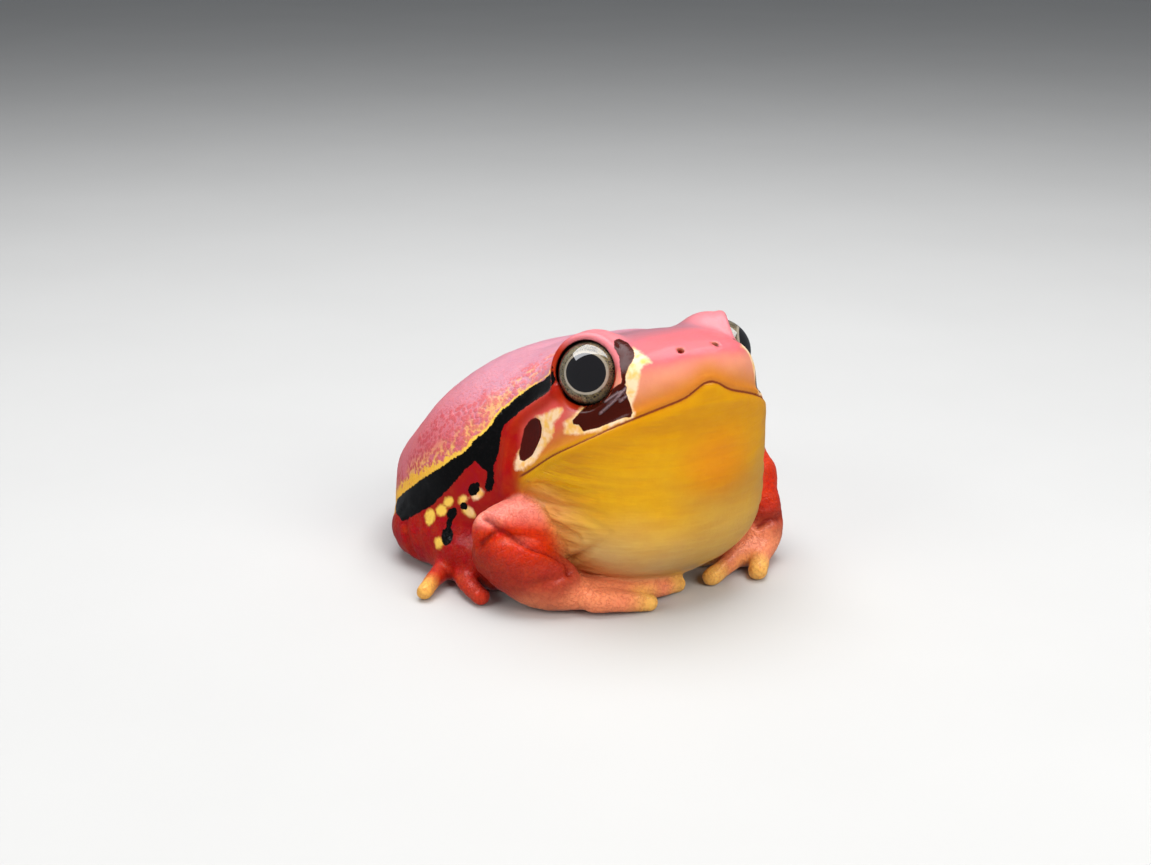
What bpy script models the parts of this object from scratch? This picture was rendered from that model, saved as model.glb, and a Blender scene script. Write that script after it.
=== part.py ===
# Adult tomato frog at rest, head raised and throat blown out, life size.
# Metres, +Z up. The frog faces -Y, its right side is -X.
# Origin on the floor under the middle of the frog's outline.
import bpy
import bmesh
import numpy as np
from mathutils import Matrix, Vector

MM = 0.001

# All sizes below are in millimetres, with the middle of the frog near x = 0.
# Gap between neighbouring nodes, and the level of the floor under the feet
GAP = 0.3
FLOOR = 0.0

# Points round a ring of the large forms and of the limbs
BIG_RING = 26
LIMB_RING = 13
TOE_RING = 7

# Mouth: front middle, corner and the heights of its line between them
MOUTH_FRONT_Y = -37.0
MOUTH_CORNER_Y = -15.5
MOUTH_CORNER_X = 18.6
MOUTH_Y = (-37.2, -36.4, -35.5, -33.9, -31.5, -27.5, -22.3, -16.4, -9.0)
MOUTH_Z = (33.4, 32.5, 31.6, 30.3, 28.7, 26.0, 22.7, 18.4, 15.0)
MOUTH_PEAK = 1.9
MOUTH_PEAK_WIDTH = 2.8

# Head stations: y, half width at the lips, top, exponent of the upper half
HEAD_Y = (-36.8, -35.6, -33.5, -30.0, -25.0, -19.0, -12.0, -6.0)
HEAD_TOP = (36.4, 38.4, 39.6, 40.2, 39.9, 38.5, 36.2, 32.6)
HEAD_DEPTH = 5.5

# Eyes: centre, radius, and the direction the lids face (right eye, millimetres)
EYE_CENTRE = (-10.85, -23.4, 34.6)
EYE_RADIUS = 5.2
EYE_AXIS = (-0.84, -0.48, 0.26)
LID_RING = 5.18
LID_TUBE = 0.7
LID_OFFSET = 2.2
# The opening between the lids widens outward like a cone: its smaller radius and its widening per millimetre
OPENING_RADIUS = 4.8
OPENING_FLARE = 0.4
BROW_RADIUS = 5.9
BROW_BACK = 1.0
BROW_UP = 0.5

# Nostrils: place, radius of the pit, direction it goes in (right side)
NOSTRIL = (-3.05, -33.9, 39.1)
NOSTRIL_RADIUS = 0.55
NOSTRIL_LENGTH = 2.2

# Eardrum: centre, half height, half width, thickness (right side)
EARDRUM_CENTRE = (-17.3, -17.2, 24.2)
EARDRUM_AXIS = (-0.96, -0.16, 0.24)
EARDRUM_HEIGHT = 3.5
EARDRUM_WIDTH = 1.9
EARDRUM_DEPTH = 1.6

# Torso stations: y, half width, top, bottom, height of the widest place
TORSO_Y = (31.0, 30.3, 29.2, 26.5, 20.5, 12.5, 4.0, -5.0, -13.0, -19.0, -24.0)
TORSO_WIDTH = (1.8, 5.0, 8.4, 13.5, 19.6, 23.9, 25.9, 25.0, 21.0, 16.0, 9.0)
TORSO_TOP = (13.2, 13.9, 14.6, 15.7, 18.5, 25.0, 32.0, 34.8, 35.9, 33.0, 27.0)
TORSO_BOTTOM = (10.8, 9.4, 7.8, 5.0, 2.2, 0.3, -0.5, -0.5, -0.5, 1.2, 5.0)
TORSO_WIDE_Z = (11.1, 10.8, 10.3, 9.6, 8.9, 9.6, 12.0, 14.2, 16.0, 16.5, 16.0)
TORSO_POWER_UP = 2.25
TORSO_POWER_DOWN = 2.7

# Throat: middle, half width and half length of the blown-out sac, its reach up and down, its exponents,
# and how far it leans forward per millimetre of height
THROAT_CENTRE = (0.0, -18.7, 16.0)
THROAT_HALF = (18.0, 18.1)
THROAT_RISE = 18.5
THROAT_DROP = 14.2
THROAT_POWER = 2.4
THROAT_POWER_UP = 5.0
THROAT_POWER_DOWN = 2.35
THROAT_LEAN = 0.05


def smooth_table(t, at, values):
    # Smooth curve through a few stations: cubic Hermite with centred slopes, for any t between the ends
    at = np.asarray(at, float)
    values = np.asarray(values, float)
    if at[0] > at[-1]:
        at = at[::-1]
        values = values[::-1]
    slopes = np.gradient(values, at, axis=0)
    t = np.clip(np.asarray(t, float), at[0], at[-1])
    i = np.clip(np.searchsorted(at, t) - 1, 0, len(at) - 2)
    h = at[i + 1] - at[i]
    u = (t - at[i]) / h
    if values.ndim == 2:
        u = u[:, None]
        h = h[:, None]
    a = values[i]
    b = values[i + 1]
    ma = slopes[i] * h
    mb = slopes[i + 1] * h
    return ((2 * u**3 - 3 * u**2 + 1) * a + (u**3 - 2 * u**2 + u) * ma
            + (3 * u**2 - 2 * u**3) * b + (u**3 - u**2) * mb)


def mesh_object(name, points, faces):
    # One object from points in millimetres and faces, normals outward
    mesh = bpy.data.meshes.new(name)
    bm = bmesh.new()
    verts = [bm.verts.new(Vector(p) * MM) for p in points]
    for face in faces:
        bm.faces.new([verts[i] for i in face])
    bmesh.ops.recalc_face_normals(bm, faces=bm.faces)
    bm.to_mesh(mesh)
    bm.free()
    obj = bpy.data.objects.new(name, mesh)
    bpy.context.scene.collection.objects.link(obj)
    return obj


def skin_rings(name, rings, start, end):
    # Closed skin over a list of equal rings, with a point at each end
    count = len(rings[0])
    points = [tuple(p) for ring in rings for p in ring]
    faces = []
    for r in range(len(rings) - 1):
        for i in range(count):
            j = (i + 1) % count
            faces.append((r * count + i, r * count + j, (r + 1) * count + j, (r + 1) * count + i))
    first = len(points)
    points.append(tuple(start))
    points.append(tuple(end))
    last = (len(rings) - 1) * count
    for i in range(count):
        j = (i + 1) % count
        faces.append((first, j, i))
        faces.append((first + 1, last + i, last + j))
    return mesh_object(name, points, faces)


def super_ring(y, width, top, bottom, wide_z, power_up, power_down, count):
    # Ring across the body at y: superellipse halves above and below the widest height
    angle = np.linspace(0.0, 2.0 * np.pi, count, endpoint=False)
    c = np.cos(angle)
    s = np.sin(angle)
    power = np.where(s >= 0.0, power_up, power_down)
    x = width * np.sign(c) * np.abs(c) ** (2.0 / power)
    rise = np.where(s >= 0.0, top - wide_z, wide_z - bottom)
    z = wide_z + rise * np.sign(s) * np.abs(s) ** (2.0 / power)
    return np.stack([x, np.full(count, y), z], axis=1)


def torso_form(name, grow=0.0):
    # Torso: rings at stations spaced along y, closer near the ends
    share = 0.5 - 0.5 * np.cos(np.linspace(0.06, np.pi - 0.06, 15))
    ys = TORSO_Y[0] + (TORSO_Y[-1] - TORSO_Y[0]) * share
    width = smooth_table(ys, TORSO_Y, TORSO_WIDTH) + grow
    top = smooth_table(ys, TORSO_Y, TORSO_TOP) + grow
    bottom = smooth_table(ys, TORSO_Y, TORSO_BOTTOM) - grow
    wide_z = smooth_table(ys, TORSO_Y, TORSO_WIDE_Z)
    rings = [super_ring(ys[i], width[i], top[i], bottom[i], wide_z[i],
                        TORSO_POWER_UP, TORSO_POWER_DOWN, BIG_RING) for i in range(len(ys))]
    start = (0.0, TORSO_Y[0] + 0.3 + grow, 12.0)
    end = (0.0, TORSO_Y[-1] - 2.0 - grow, 16.0)
    return skin_rings(name, rings, start, end)


def level_ring(centre, half_x, half_y, power, count):
    # Flat ring at one height: a superellipse in plan
    angle = np.linspace(0.0, 2.0 * np.pi, count, endpoint=False)
    c = np.cos(angle)
    s = np.sin(angle)
    x = centre[0] + half_x * np.sign(c) * np.abs(c) ** (2.0 / power)
    y = centre[1] + half_y * np.sign(s) * np.abs(s) ** (2.0 / power)
    return np.stack([x, y, np.full(count, centre[2])], axis=1)


def throat_form(name, grow=0.0):
    # Throat: level rings stacked from the lowest point up, leaning forward above the middle
    rings = []
    for v in np.linspace(-np.pi / 2 + 0.14, np.pi / 2 - 0.14, 13):
        power = THROAT_POWER_UP if v > 0.0 else THROAT_POWER_DOWN
        reach = (THROAT_RISE if v > 0.0 else THROAT_DROP) + grow
        rise = reach * np.sign(v) * abs(np.sin(v)) ** (2.0 / power)
        scale = np.cos(v) ** (2.0 / power)
        forward = THROAT_LEAN * max(rise, 0.0)
        centre = (0.0, THROAT_CENTRE[1] - forward, THROAT_CENTRE[2] + rise)
        rings.append(level_ring(centre, (THROAT_HALF[0] + grow) * scale, (THROAT_HALF[1] + grow) * scale,
                                THROAT_POWER, BIG_RING))
    low = (0.0, THROAT_CENTRE[1], THROAT_CENTRE[2] - THROAT_DROP - grow)
    high = (0.0, THROAT_CENTRE[1] - THROAT_LEAN * THROAT_RISE, THROAT_CENTRE[2] + THROAT_RISE + grow)
    return skin_rings(name, rings, low, high)


def mouth_height(y):
    return smooth_table(y, MOUTH_Y, MOUTH_Z)


def lip_width(y):
    # Half width of the head at the lips: an ellipse from the front middle to the corner, then steady
    reach = MOUTH_CORNER_Y - MOUTH_FRONT_Y
    u = np.clip((MOUTH_CORNER_Y - np.asarray(y, float)) / reach, 0.0, 1.0)
    return MOUTH_CORNER_X * np.sqrt(np.maximum(1.0 - u**2.2, 0.0))


def head_form(name, grow=0.0):
    # Head with both jaws: rings across, widest at the line of the mouth
    share = np.linspace(0.0, 1.0, 16) ** 1.35
    ys = HEAD_Y[0] + (HEAD_Y[-1] - HEAD_Y[0]) * share
    rings = []
    for y in ys:
        width = float(lip_width(y)) + grow
        wide_z = float(mouth_height(y)) - 0.6
        top = float(smooth_table(y, HEAD_Y, HEAD_TOP)) + grow
        bottom = wide_z - HEAD_DEPTH * (0.45 + 0.55 * min(1.0, (y - HEAD_Y[0]) / 8.0)) - grow
        rings.append(super_ring(y, width, top, bottom, wide_z, 2.7, 2.2, BIG_RING))
    front = (0.0, HEAD_Y[0] - 0.35 - grow, 34.7)
    back = (0.0, HEAD_Y[-1] + 0.5 + grow, 24.0)
    return skin_rings(name, rings, front, back)


def frame_of(direction):
    # Two unit vectors square to a direction, the second one as upright as it can be
    d = np.asarray(direction, float)
    d = d / np.linalg.norm(d)
    side = np.cross(d, (0.0, 0.0, 1.0))
    if np.linalg.norm(side) < 0.05:
        side = np.array([1.0, 0.0, 0.0])
    side = side / np.linalg.norm(side)
    return d, side, np.cross(side, d)


def limb_form(name, stations, ring_count=LIMB_RING, steps=2, grow=0.0, power=2.1):
    # Limb piece: ellipse rings carried along a smooth path through stations (x, y, z, half width, half height),
    # with rounded ends
    stations = np.asarray(stations, float)
    at = np.arange(len(stations), dtype=float)
    fine = np.linspace(0.0, at[-1], steps * (len(stations) - 1) + 1)
    path = smooth_table(fine, at, stations)
    centre = path[:, :3]
    size = path[:, 3:] + grow
    angle = np.linspace(0.0, 2.0 * np.pi, ring_count, endpoint=False)
    c = np.sign(np.cos(angle)) * np.abs(np.cos(angle)) ** (2.0 / power)
    s = np.sign(np.sin(angle)) * np.abs(np.sin(angle)) ** (2.0 / power)
    tangent = np.gradient(centre, axis=0)
    rings = []
    d0, side0, up0 = frame_of(tangent[0])
    dn, siden, upn = frame_of(tangent[-1])
    round_steps = (0.97, 0.8, 0.45)
    for k in round_steps:
        f = np.sqrt(1.0 - k * k)
        middle = centre[0] - d0 * k * size[0].mean()
        rings.append(middle + np.outer(c, side0) * size[0, 0] * f + np.outer(s, up0) * size[0, 1] * f)
    for i in range(len(fine)):
        d, side, up = frame_of(tangent[i])
        rings.append(centre[i] + np.outer(c, side) * size[i, 0] + np.outer(s, up) * size[i, 1])
    for k in round_steps[::-1]:
        f = np.sqrt(1.0 - k * k)
        middle = centre[-1] + dn * k * size[-1].mean()
        rings.append(middle + np.outer(c, siden) * size[-1, 0] * f + np.outer(s, upn) * size[-1, 1] * f)
    start = centre[0] - d0 * size[0].mean()
    end = centre[-1] + dn * size[-1].mean()
    return skin_rings(name, rings, start, end)


def sphere_form(name, centre, radius, ring_count=18, rows=8):
    rings = []
    for v in np.linspace(-np.pi / 2, np.pi / 2, rows + 2)[1:-1]:
        angle = np.linspace(0.0, 2.0 * np.pi, ring_count, endpoint=False)
        ring = np.stack([np.cos(v) * np.cos(angle), np.cos(v) * np.sin(angle),
                         np.full(ring_count, np.sin(v))], axis=1)
        rings.append(np.asarray(centre) + radius * ring)
    low = np.asarray(centre) - (0.0, 0.0, radius)
    high = np.asarray(centre) + (0.0, 0.0, radius)
    return skin_rings(name, rings, low, high)


def cone_form(name, centre, axis, near, far, near_radius, far_radius, count=16):
    # Flat-ended cone along an axis, between two distances from the centre
    d, side, up = frame_of(axis)
    angle = np.linspace(0.0, 2.0 * np.pi, count, endpoint=False)
    out = np.outer(np.cos(angle), side) + np.outer(np.sin(angle), up)
    base = np.asarray(centre)
    return skin_rings(name, [base + d * near + out * near_radius, base + d * far + out * far_radius],
                      base + d * near, base + d * far)


def torus_form(name, centre, axis, ring, tube, around=24, across=7):
    # Ring-shaped roll of lid round the eye
    d, side, up = frame_of(axis)
    points = []
    for i in range(around):
        a = 2.0 * np.pi * i / around
        out = np.cos(a) * side + np.sin(a) * up
        for j in range(across):
            b = 2.0 * np.pi * j / across
            points.append(np.asarray(centre) + out * (ring + tube * np.cos(b)) + d * tube * np.sin(b))
    faces = []
    for i in range(around):
        for j in range(across):
            i2 = (i + 1) % around
            j2 = (j + 1) % across
            faces.append((i * across + j, i2 * across + j, i2 * across + j2, i * across + j2))
    return mesh_object(name, points, faces)


def oval_form(name, centre, axis, up_hint, half_up, half_side, half_deep):
    # Flattened ellipsoid facing along an axis
    d = np.asarray(axis, float)
    d = d / np.linalg.norm(d)
    up = np.asarray(up_hint, float)
    up = up - d * np.dot(up, d)
    up = up / np.linalg.norm(up)
    side = np.cross(up, d)
    rings = []
    for v in np.linspace(-np.pi / 2, np.pi / 2, 9)[1:-1]:
        angle = np.linspace(0.0, 2.0 * np.pi, 16, endpoint=False)
        ring = (np.outer(np.cos(angle), side) * half_side + np.outer(np.sin(angle), up) * half_up) * np.cos(v)
        rings.append(np.asarray(centre) + ring + d * half_deep * np.sin(v))
    return skin_rings(name, rings, np.asarray(centre) - d * half_deep, np.asarray(centre) + d * half_deep)


def box_form(name, low, high):
    points = [(x, y, z) for x in (low[0], high[0]) for y in (low[1], high[1]) for z in (low[2], high[2])]
    faces = [(0, 1, 3, 2), (4, 6, 7, 5), (0, 4, 5, 1), (2, 3, 7, 6), (0, 2, 6, 4), (1, 5, 7, 3)]
    return mesh_object(name, points, faces)


def mouth_wedge(name, raise_by):
    # Everything under the surface through the line of the mouth, which has a low peak at the front middle
    ys = np.linspace(-39.0, 1.0, 14)
    xs = np.linspace(-21.0, 21.0, 13)
    peak = MOUTH_PEAK * np.exp(-(xs / MOUTH_PEAK_WIDTH) ** 2)
    front = np.clip((-30.0 - ys) / 6.0, 0.0, 1.0)
    tops = mouth_height(ys)[:, None] + front[:, None] * peak[None, :] + raise_by
    rows = len(ys)
    cols = len(xs)
    points = [(xs[j], ys[i], tops[i, j]) for i in range(rows) for j in range(cols)]
    points += [(xs[j], ys[i], -5.0) for i in range(rows) for j in range(cols)]
    half = rows * cols
    faces = []
    for i in range(rows - 1):
        for j in range(cols - 1):
            a = i * cols + j
            faces.append((a, a + 1, a + cols + 1, a + cols))
            faces.append((half + a, half + a + cols, half + a + cols + 1, half + a + 1))
    for i in range(rows - 1):
        for j in (0, cols - 1):
            a = i * cols + j
            faces.append((a, a + cols, half + a + cols, half + a))
    for j in range(cols - 1):
        for i in (0, rows - 1):
            a = i * cols + j
            faces.append((a, a + 1, half + a + 1, half + a))
    return mesh_object(name, points, faces)


def apply_modifiers(obj):
    depsgraph = bpy.context.evaluated_depsgraph_get()
    mesh = bpy.data.meshes.new_from_object(obj.evaluated_get(depsgraph))
    old = obj.data
    obj.modifiers.clear()
    obj.data = mesh
    bpy.data.meshes.remove(old)


def boolean(obj, other, operation, folded=False):
    # folded is for forms whose own rings cross on the inside of a bend
    mod = obj.modifiers.new(operation.lower(), "BOOLEAN")
    mod.operation = operation
    mod.solver = "EXACT"
    mod.use_self = folded
    mod.object = other
    apply_modifiers(obj)


def keep_largest(obj):
    # Keep the closed surface with the largest box
    bm = bmesh.new()
    bm.from_mesh(obj.data)
    bmesh.ops.remove_doubles(bm, verts=bm.verts, dist=0.000002)
    left = set(bm.faces)
    groups = []
    while left:
        seed = left.pop()
        group = [seed]
        stack = [seed]
        while stack:
            face = stack.pop()
            for edge in face.edges:
                for near in edge.link_faces:
                    if near in left:
                        left.remove(near)
                        stack.append(near)
                        group.append(near)
        groups.append(group)

    def extent(group):
        co = np.array([v.co for f in group for v in f.verts])
        return float(np.prod(co.max(axis=0) - co.min(axis=0) + 1e-6))

    groups.sort(key=extent)
    drop = [f for group in groups[:-1] for f in group]
    if drop:
        bmesh.ops.delete(bm, geom=drop, context="FACES")
        loose = [v for v in bm.verts if not v.link_faces]
        bmesh.ops.delete(bm, geom=loose, context="VERTS")
    bm.to_mesh(obj.data)
    bm.free()


def cut(obj, cutters):
    for cutter in cutters:
        boolean(obj, cutter, "DIFFERENCE")
        keep_largest(obj)


def remove(objs):
    for obj in objs:
        bpy.data.objects.remove(obj, do_unlink=True)


def mirror(p):
    return (-p[0],) + tuple(p[1:])


def material(name, colour, roughness, metallic=0.0, coat=0.0):
    mat = bpy.data.materials.new(name)
    mat.use_nodes = True
    shader = mat.node_tree.nodes["Principled BSDF"]
    shader.inputs["Base Color"].default_value = (*colour, 1.0)
    shader.inputs["Roughness"].default_value = roughness
    shader.inputs["Metallic"].default_value = metallic
    shader.inputs["Coat Weight"].default_value = coat
    mat.diffuse_color = (*colour, 1.0)
    return mat


for old in list(bpy.data.objects):
    bpy.data.objects.remove(old, do_unlink=True)

# Limb stations: x, y, z, half width, half height. The right side is the one towards the photo's camera.
UPPER_ARM_RIGHT = ((-15.0, -20.4, 10.6, 4.5, 4.5), (-20.0, -17.9, 11.5, 4.2, 4.2), (-23.7, -16.4, 10.9, 3.3, 3.3))
FOREARM_RIGHT = ((-22.5, -16.8, 7.3, 4.5, 4.5), (-21.4, -20.8, 6.2, 4.8, 4.7), (-18.4, -24.7, 4.2, 3.7, 3.3))
PALM_RIGHT = ((-19.6, -22.6, 3.2, 3.5, 2.9), (-15.6, -25.6, 2.5, 3.6, 2.4), (-11.5, -27.5, 2.1, 3.3, 1.9))
FINGERS_RIGHT = (((-16.0, -28.0, 2.2, 1.9, 1.7), (-10.5, -31.2, 1.9, 1.5, 1.5), (-6.9, -32.3, 1.3, 1.35, 1.3)),
                 ((-11.0, -28.6, 2.1, 1.6, 1.6), (-4.0, -29.2, 1.9, 1.4, 1.5), (1.0, -28.2, 1.2, 1.3, 1.25)),
                 ((-12.0, -26.5, 2.1, 1.6, 1.6), (-6.5, -25.4, 1.9, 1.4, 1.5), (-2.6, -23.8, 1.2, 1.3, 1.25)),
                 ((-15.0, -24.0, 2.1, 1.6, 1.6), (-11.5, -21.8, 1.8, 1.4, 1.4), (-9.0, -19.8, 1.2, 1.3, 1.25)))
UPPER_ARM_LEFT = ((17.0, -5.0, 18.6, 6.0, 6.0), (20.5, -12.0, 15.4, 5.7, 5.5), (21.8, -18.0, 11.8, 4.5, 4.5))
FOREARM_LEFT = ((21.6, -18.3, 10.6, 4.2, 4.2), (21.4, -21.3, 7.4, 3.5, 3.5), (20.8, -23.0, 4.6, 2.9, 2.8))
PALM_LEFT = ((20.9, -22.6, 3.3, 2.9, 2.8), (18.6, -24.2, 2.6, 3.3, 2.5), (16.2, -25.0, 2.2, 2.8, 2.0))
FINGERS_LEFT = (((19.6, -24.6, 2.7, 1.7, 1.6), (17.2, -27.6, 2.1, 1.5, 1.5), (14.4, -30.5, 1.3, 1.45, 1.4)),
                ((17.0, -24.4, 2.4, 1.5, 1.5), (11.4, -27.0, 1.9, 1.45, 1.45), (7.0, -28.8, 1.3, 1.4, 1.3)),
                ((16.0, -24.2, 2.1, 1.6, 1.6), (12.8, -22.9, 1.9, 1.4, 1.4), (10.0, -21.3, 1.2, 1.3, 1.25)),
                ((17.0, -23.2, 2.1, 1.6, 1.6), (14.0, -20.6, 1.8, 1.4, 1.4), (11.8, -18.4, 1.2, 1.3, 1.25)))
THIGH_RIGHT = ((-8.0, 19.0, 11.0, 6.2, 6.2), (-14.5, 12.0, 10.3, 6.6, 6.8), (-19.8, 3.0, 7.8, 6.0, 6.2),
               (-22.0, -4.5, 4.4, 4.9, 4.9), (-22.0, -9.0, 3.7, 3.9, 3.9))
SHANK_RIGHT = ((-22.4, -0.5, 4.8, 4.8, 4.8), (-23.0, 5.5, 5.0, 5.2, 5.2), (-20.5, 11.5, 4.6, 4.0, 4.0),
               (-17.5, 16.5, 4.6, 3.7, 3.7), (-12.5, 22.0, 4.4, 3.2, 3.2))
FOOT_RIGHT = ((-13.5, 20.5, 2.65, 2.6, 2.6), (-19.0, 8.0, 2.25, 3.2, 2.2), (-23.2, -5.4, 1.85, 3.2, 1.8))
TOES_RIGHT = (((-21.0, -2.5, 2.0, 1.6, 1.6), (-17.6, -4.6, 1.8, 1.4, 1.4), (-15.0, -6.5, 1.3, 1.2, 1.2)),
              ((-22.0, -5.0, 2.0, 1.7, 1.7), (-19.6, -8.5, 1.8, 1.5, 1.5), (-18.0, -11.5, 1.3, 1.2, 1.2)),
              ((-23.3, -6.5, 2.0, 1.8, 1.8), (-22.4, -10.0, 1.8, 1.5, 1.5), (-21.8, -13.0, 1.3, 1.3, 1.25)),
              ((-24.6, -8.5, 2.0, 1.7, 1.7), (-26.0, -13.0, 1.8, 1.5, 1.5), (-26.4, -17.0, 1.35, 1.38, 1.35)),
              ((-26.0, -5.6, 2.0, 1.6, 1.6), (-29.4, -8.2, 1.8, 1.3, 1.3), (-32.4, -10.8, 1.3, 1.15, 1.15)))

SKIN_RED = (0.62, 0.10, 0.05)
SKIN_BACK = (0.62, 0.20, 0.20)
SKIN_ORANGE = (0.80, 0.26, 0.10)
SKIN_GOLD = (0.72, 0.36, 0.07)
SKIN_PINK = (0.78, 0.27, 0.22)
BROWN = (0.09, 0.02, 0.02)
IRIS = (0.10, 0.08, 0.05)

floor = box_form("floor_cutter", (-80.0, -80.0, -20.0), (80.0, 80.0, FLOOR))


def side_name(base, side):
    return base + ("_right" if side < 0 else "_left")


def place(p, side):
    return p if side < 0 else mirror(p)


# Head and lower jaw, parted along the line of the mouth
head = head_form("head")
for side in (-1, 1):
    centre = np.array(place(EYE_CENTRE, side))
    axis = np.array(place(EYE_AXIS, side))
    axis = axis / np.linalg.norm(axis)
    lid = torus_form("lid_form", centre + axis * LID_OFFSET, axis, LID_RING, LID_TUBE)
    ball = sphere_form("brow_form", centre - axis * BROW_BACK + (0.0, 0.0, BROW_UP), BROW_RADIUS)
    boolean(head, ball, "UNION")
    near = LID_OFFSET - 0.6
    opening = cone_form("opening_cutter", centre, axis, near, near + 6.0, OPENING_RADIUS - 0.1,
                        OPENING_RADIUS + 6.0 * OPENING_FLARE)
    boolean(head, opening, "DIFFERENCE")
    boolean(head, lid, "UNION")
    remove([lid, ball, opening])
pockets = []
for side in (-1, 1):
    socket = sphere_form("socket_cutter", place(EYE_CENTRE, side), EYE_RADIUS + GAP)
    spot = np.array(place(NOSTRIL, side))
    way = np.array(place((-0.35, -0.75, 0.45), side))
    way = way / np.linalg.norm(way)
    pit = oval_form("nostril_cutter", spot, way, (0.0, 0.0, 1.0), NOSTRIL_RADIUS, NOSTRIL_RADIUS * 1.25,
                    NOSTRIL_LENGTH)
    drum_axis = place(EARDRUM_AXIS, side)
    pocket = oval_form("eardrum_cutter", place(EARDRUM_CENTRE, side), drum_axis, (0.0, -0.35, 1.0),
                       EARDRUM_HEIGHT + GAP, EARDRUM_WIDTH + GAP, EARDRUM_DEPTH + GAP)
    cut(head, [socket, pit, pocket])
    remove([socket, pit])
    pockets.append(pocket)
    eye = sphere_form(side_name("eye", side), place(EYE_CENTRE, side), EYE_RADIUS)
    drum = oval_form(side_name("eardrum", side), place(EARDRUM_CENTRE, side), drum_axis, (0.0, -0.35, 1.0),
                     EARDRUM_HEIGHT, EARDRUM_WIDTH, EARDRUM_DEPTH)

jaw = head.copy()
jaw.data = head.data.copy()
jaw.name = "lower_jaw"
bpy.context.scene.collection.objects.link(jaw)
below = mouth_wedge("mouth_cutter", 0.0)
boolean(jaw, below, "INTERSECT")
keep_largest(jaw)
remove([below])
below = mouth_wedge("mouth_cutter", GAP)
cut(head, [below])
remove([below])

head_cutter = head_form("head_cutter", GAP)
throat = throat_form("throat")
throat_cutter = throat_form("throat_cutter", GAP)
below = mouth_wedge("mouth_cutter", -GAP)
boolean(throat, below, "INTERSECT")
remove([below])
torso = torso_form("torso")

# Limbs, each piece cut back by the one it grows from
kept = {}
cutters = {}
chains = {
    -1: (("upper_arm", UPPER_ARM_RIGHT), ("forearm", FOREARM_RIGHT), ("hand", PALM_RIGHT),
         ("thigh", THIGH_RIGHT), ("shank", SHANK_RIGHT), ("foot", FOOT_RIGHT)),
    1: (("upper_arm", UPPER_ARM_LEFT), ("forearm", FOREARM_LEFT), ("hand", PALM_LEFT),
        ("thigh", [mirror(p) for p in THIGH_RIGHT]), ("shank", [mirror(p) for p in SHANK_RIGHT]),
        ("foot", [mirror(p) for p in FOOT_RIGHT])),
}
digits = {
    -1: {"hand": FINGERS_RIGHT, "foot": TOES_RIGHT},
    1: {"hand": FINGERS_LEFT, "foot": [[mirror(p) for p in toe] for toe in TOES_RIGHT]},
}


def limb_with_digits(name, stations, extra, grow):
    # The ball at the first station rounds the joint
    obj = limb_form(name, stations, grow=grow)
    first = stations[0]
    forms = [sphere_form("joint_form", first[:3], min(first[3:]) - 0.2 + grow, 12, 6)]
    forms += [limb_form("digit_form", digit, TOE_RING, 2, grow=grow) for digit in extra]
    for form in forms:
        boolean(obj, form, "UNION", folded=True)
    remove(forms)
    keep_largest(obj)
    return obj


for side in (-1, 1):
    for base, stations in chains[side]:
        extra = digits[side].get(base, ())
        kept[side, base] = limb_with_digits(side_name(base, side), stations, extra, 0.0)
        cutters[side, base] = limb_with_digits(base + "_cutter", stations, extra, GAP)

before = {
    "upper_arm": (),
    "forearm": ("upper_arm",),
    "hand": ("forearm", "upper_arm"),
    "thigh": ("foot", "forearm", "upper_arm", "hand"),
    "shank": ("thigh", "foot"),
    "foot": ("forearm", "upper_arm", "hand"),
}
for side in (-1, 1):
    for base, others in before.items():
        obj = kept[side, base]
        cut(obj, [floor] + [cutters[side, other] for other in others])

cut(throat, [floor, head_cutter] + [cutters[s, b] for s in (-1, 1) for b in ("upper_arm", "forearm", "hand")])
cut(torso, [cutters[s, b] for s in (-1, 1) for b in ("foot", "shank", "thigh")] + [floor])
cut(torso, [head_cutter, throat_cutter] + pockets + [cutters[s, b] for s in (-1, 1) for b in ("upper_arm", "forearm", "hand")])
for side in (-1, 1):
    for base in ("upper_arm", "forearm"):
        cut(kept[side, base], [head_cutter])
remove([floor, head_cutter, throat_cutter] + pockets + list(cutters.values()))

looks = {
    "torso": (SKIN_BACK, 0.35), "throat": (SKIN_GOLD, 0.35), "head": (SKIN_PINK, 0.32),
    "lower_jaw": (SKIN_ORANGE, 0.32), "eye": (IRIS, 0.08), "eardrum": (BROWN, 0.3),
    "upper_arm": (SKIN_RED, 0.38), "forearm": (SKIN_RED, 0.38), "hand": (SKIN_ORANGE, 0.4),
    "thigh": (SKIN_RED, 0.38), "shank": (SKIN_RED, 0.38), "foot": (SKIN_ORANGE, 0.4),
}
nodes = list(bpy.context.scene.collection.objects)

# The origin goes under the middle of the outline
corners = np.array([v.co for obj in nodes for v in obj.data.vertices])
middle = 0.5 * (corners.min(axis=0) + corners.max(axis=0))
for obj in nodes:
    obj.data.transform(Matrix.Translation((-middle[0], -middle[1], 0.0)))

for obj in nodes:
    base = obj.name.replace("_right", "").replace("_left", "")
    colour, roughness = looks[base]
    obj.data.materials.clear()
    obj.data.materials.append(material(obj.name + "_skin", colour, roughness, coat=0.3))
    for poly in obj.data.polygons:
        poly.use_smooth = True
    obj.data.set_sharp_from_angle(angle=0.6)
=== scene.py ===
# Adult tomato frog at rest, head raised and throat blown out, at life size.
# Sizes are in millimetres in the frog's own frame: it faces -Y, its right side is -X, the floor is z = 0.
import math
import bpy
import numpy as np
from mathutils import Matrix, Vector


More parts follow.
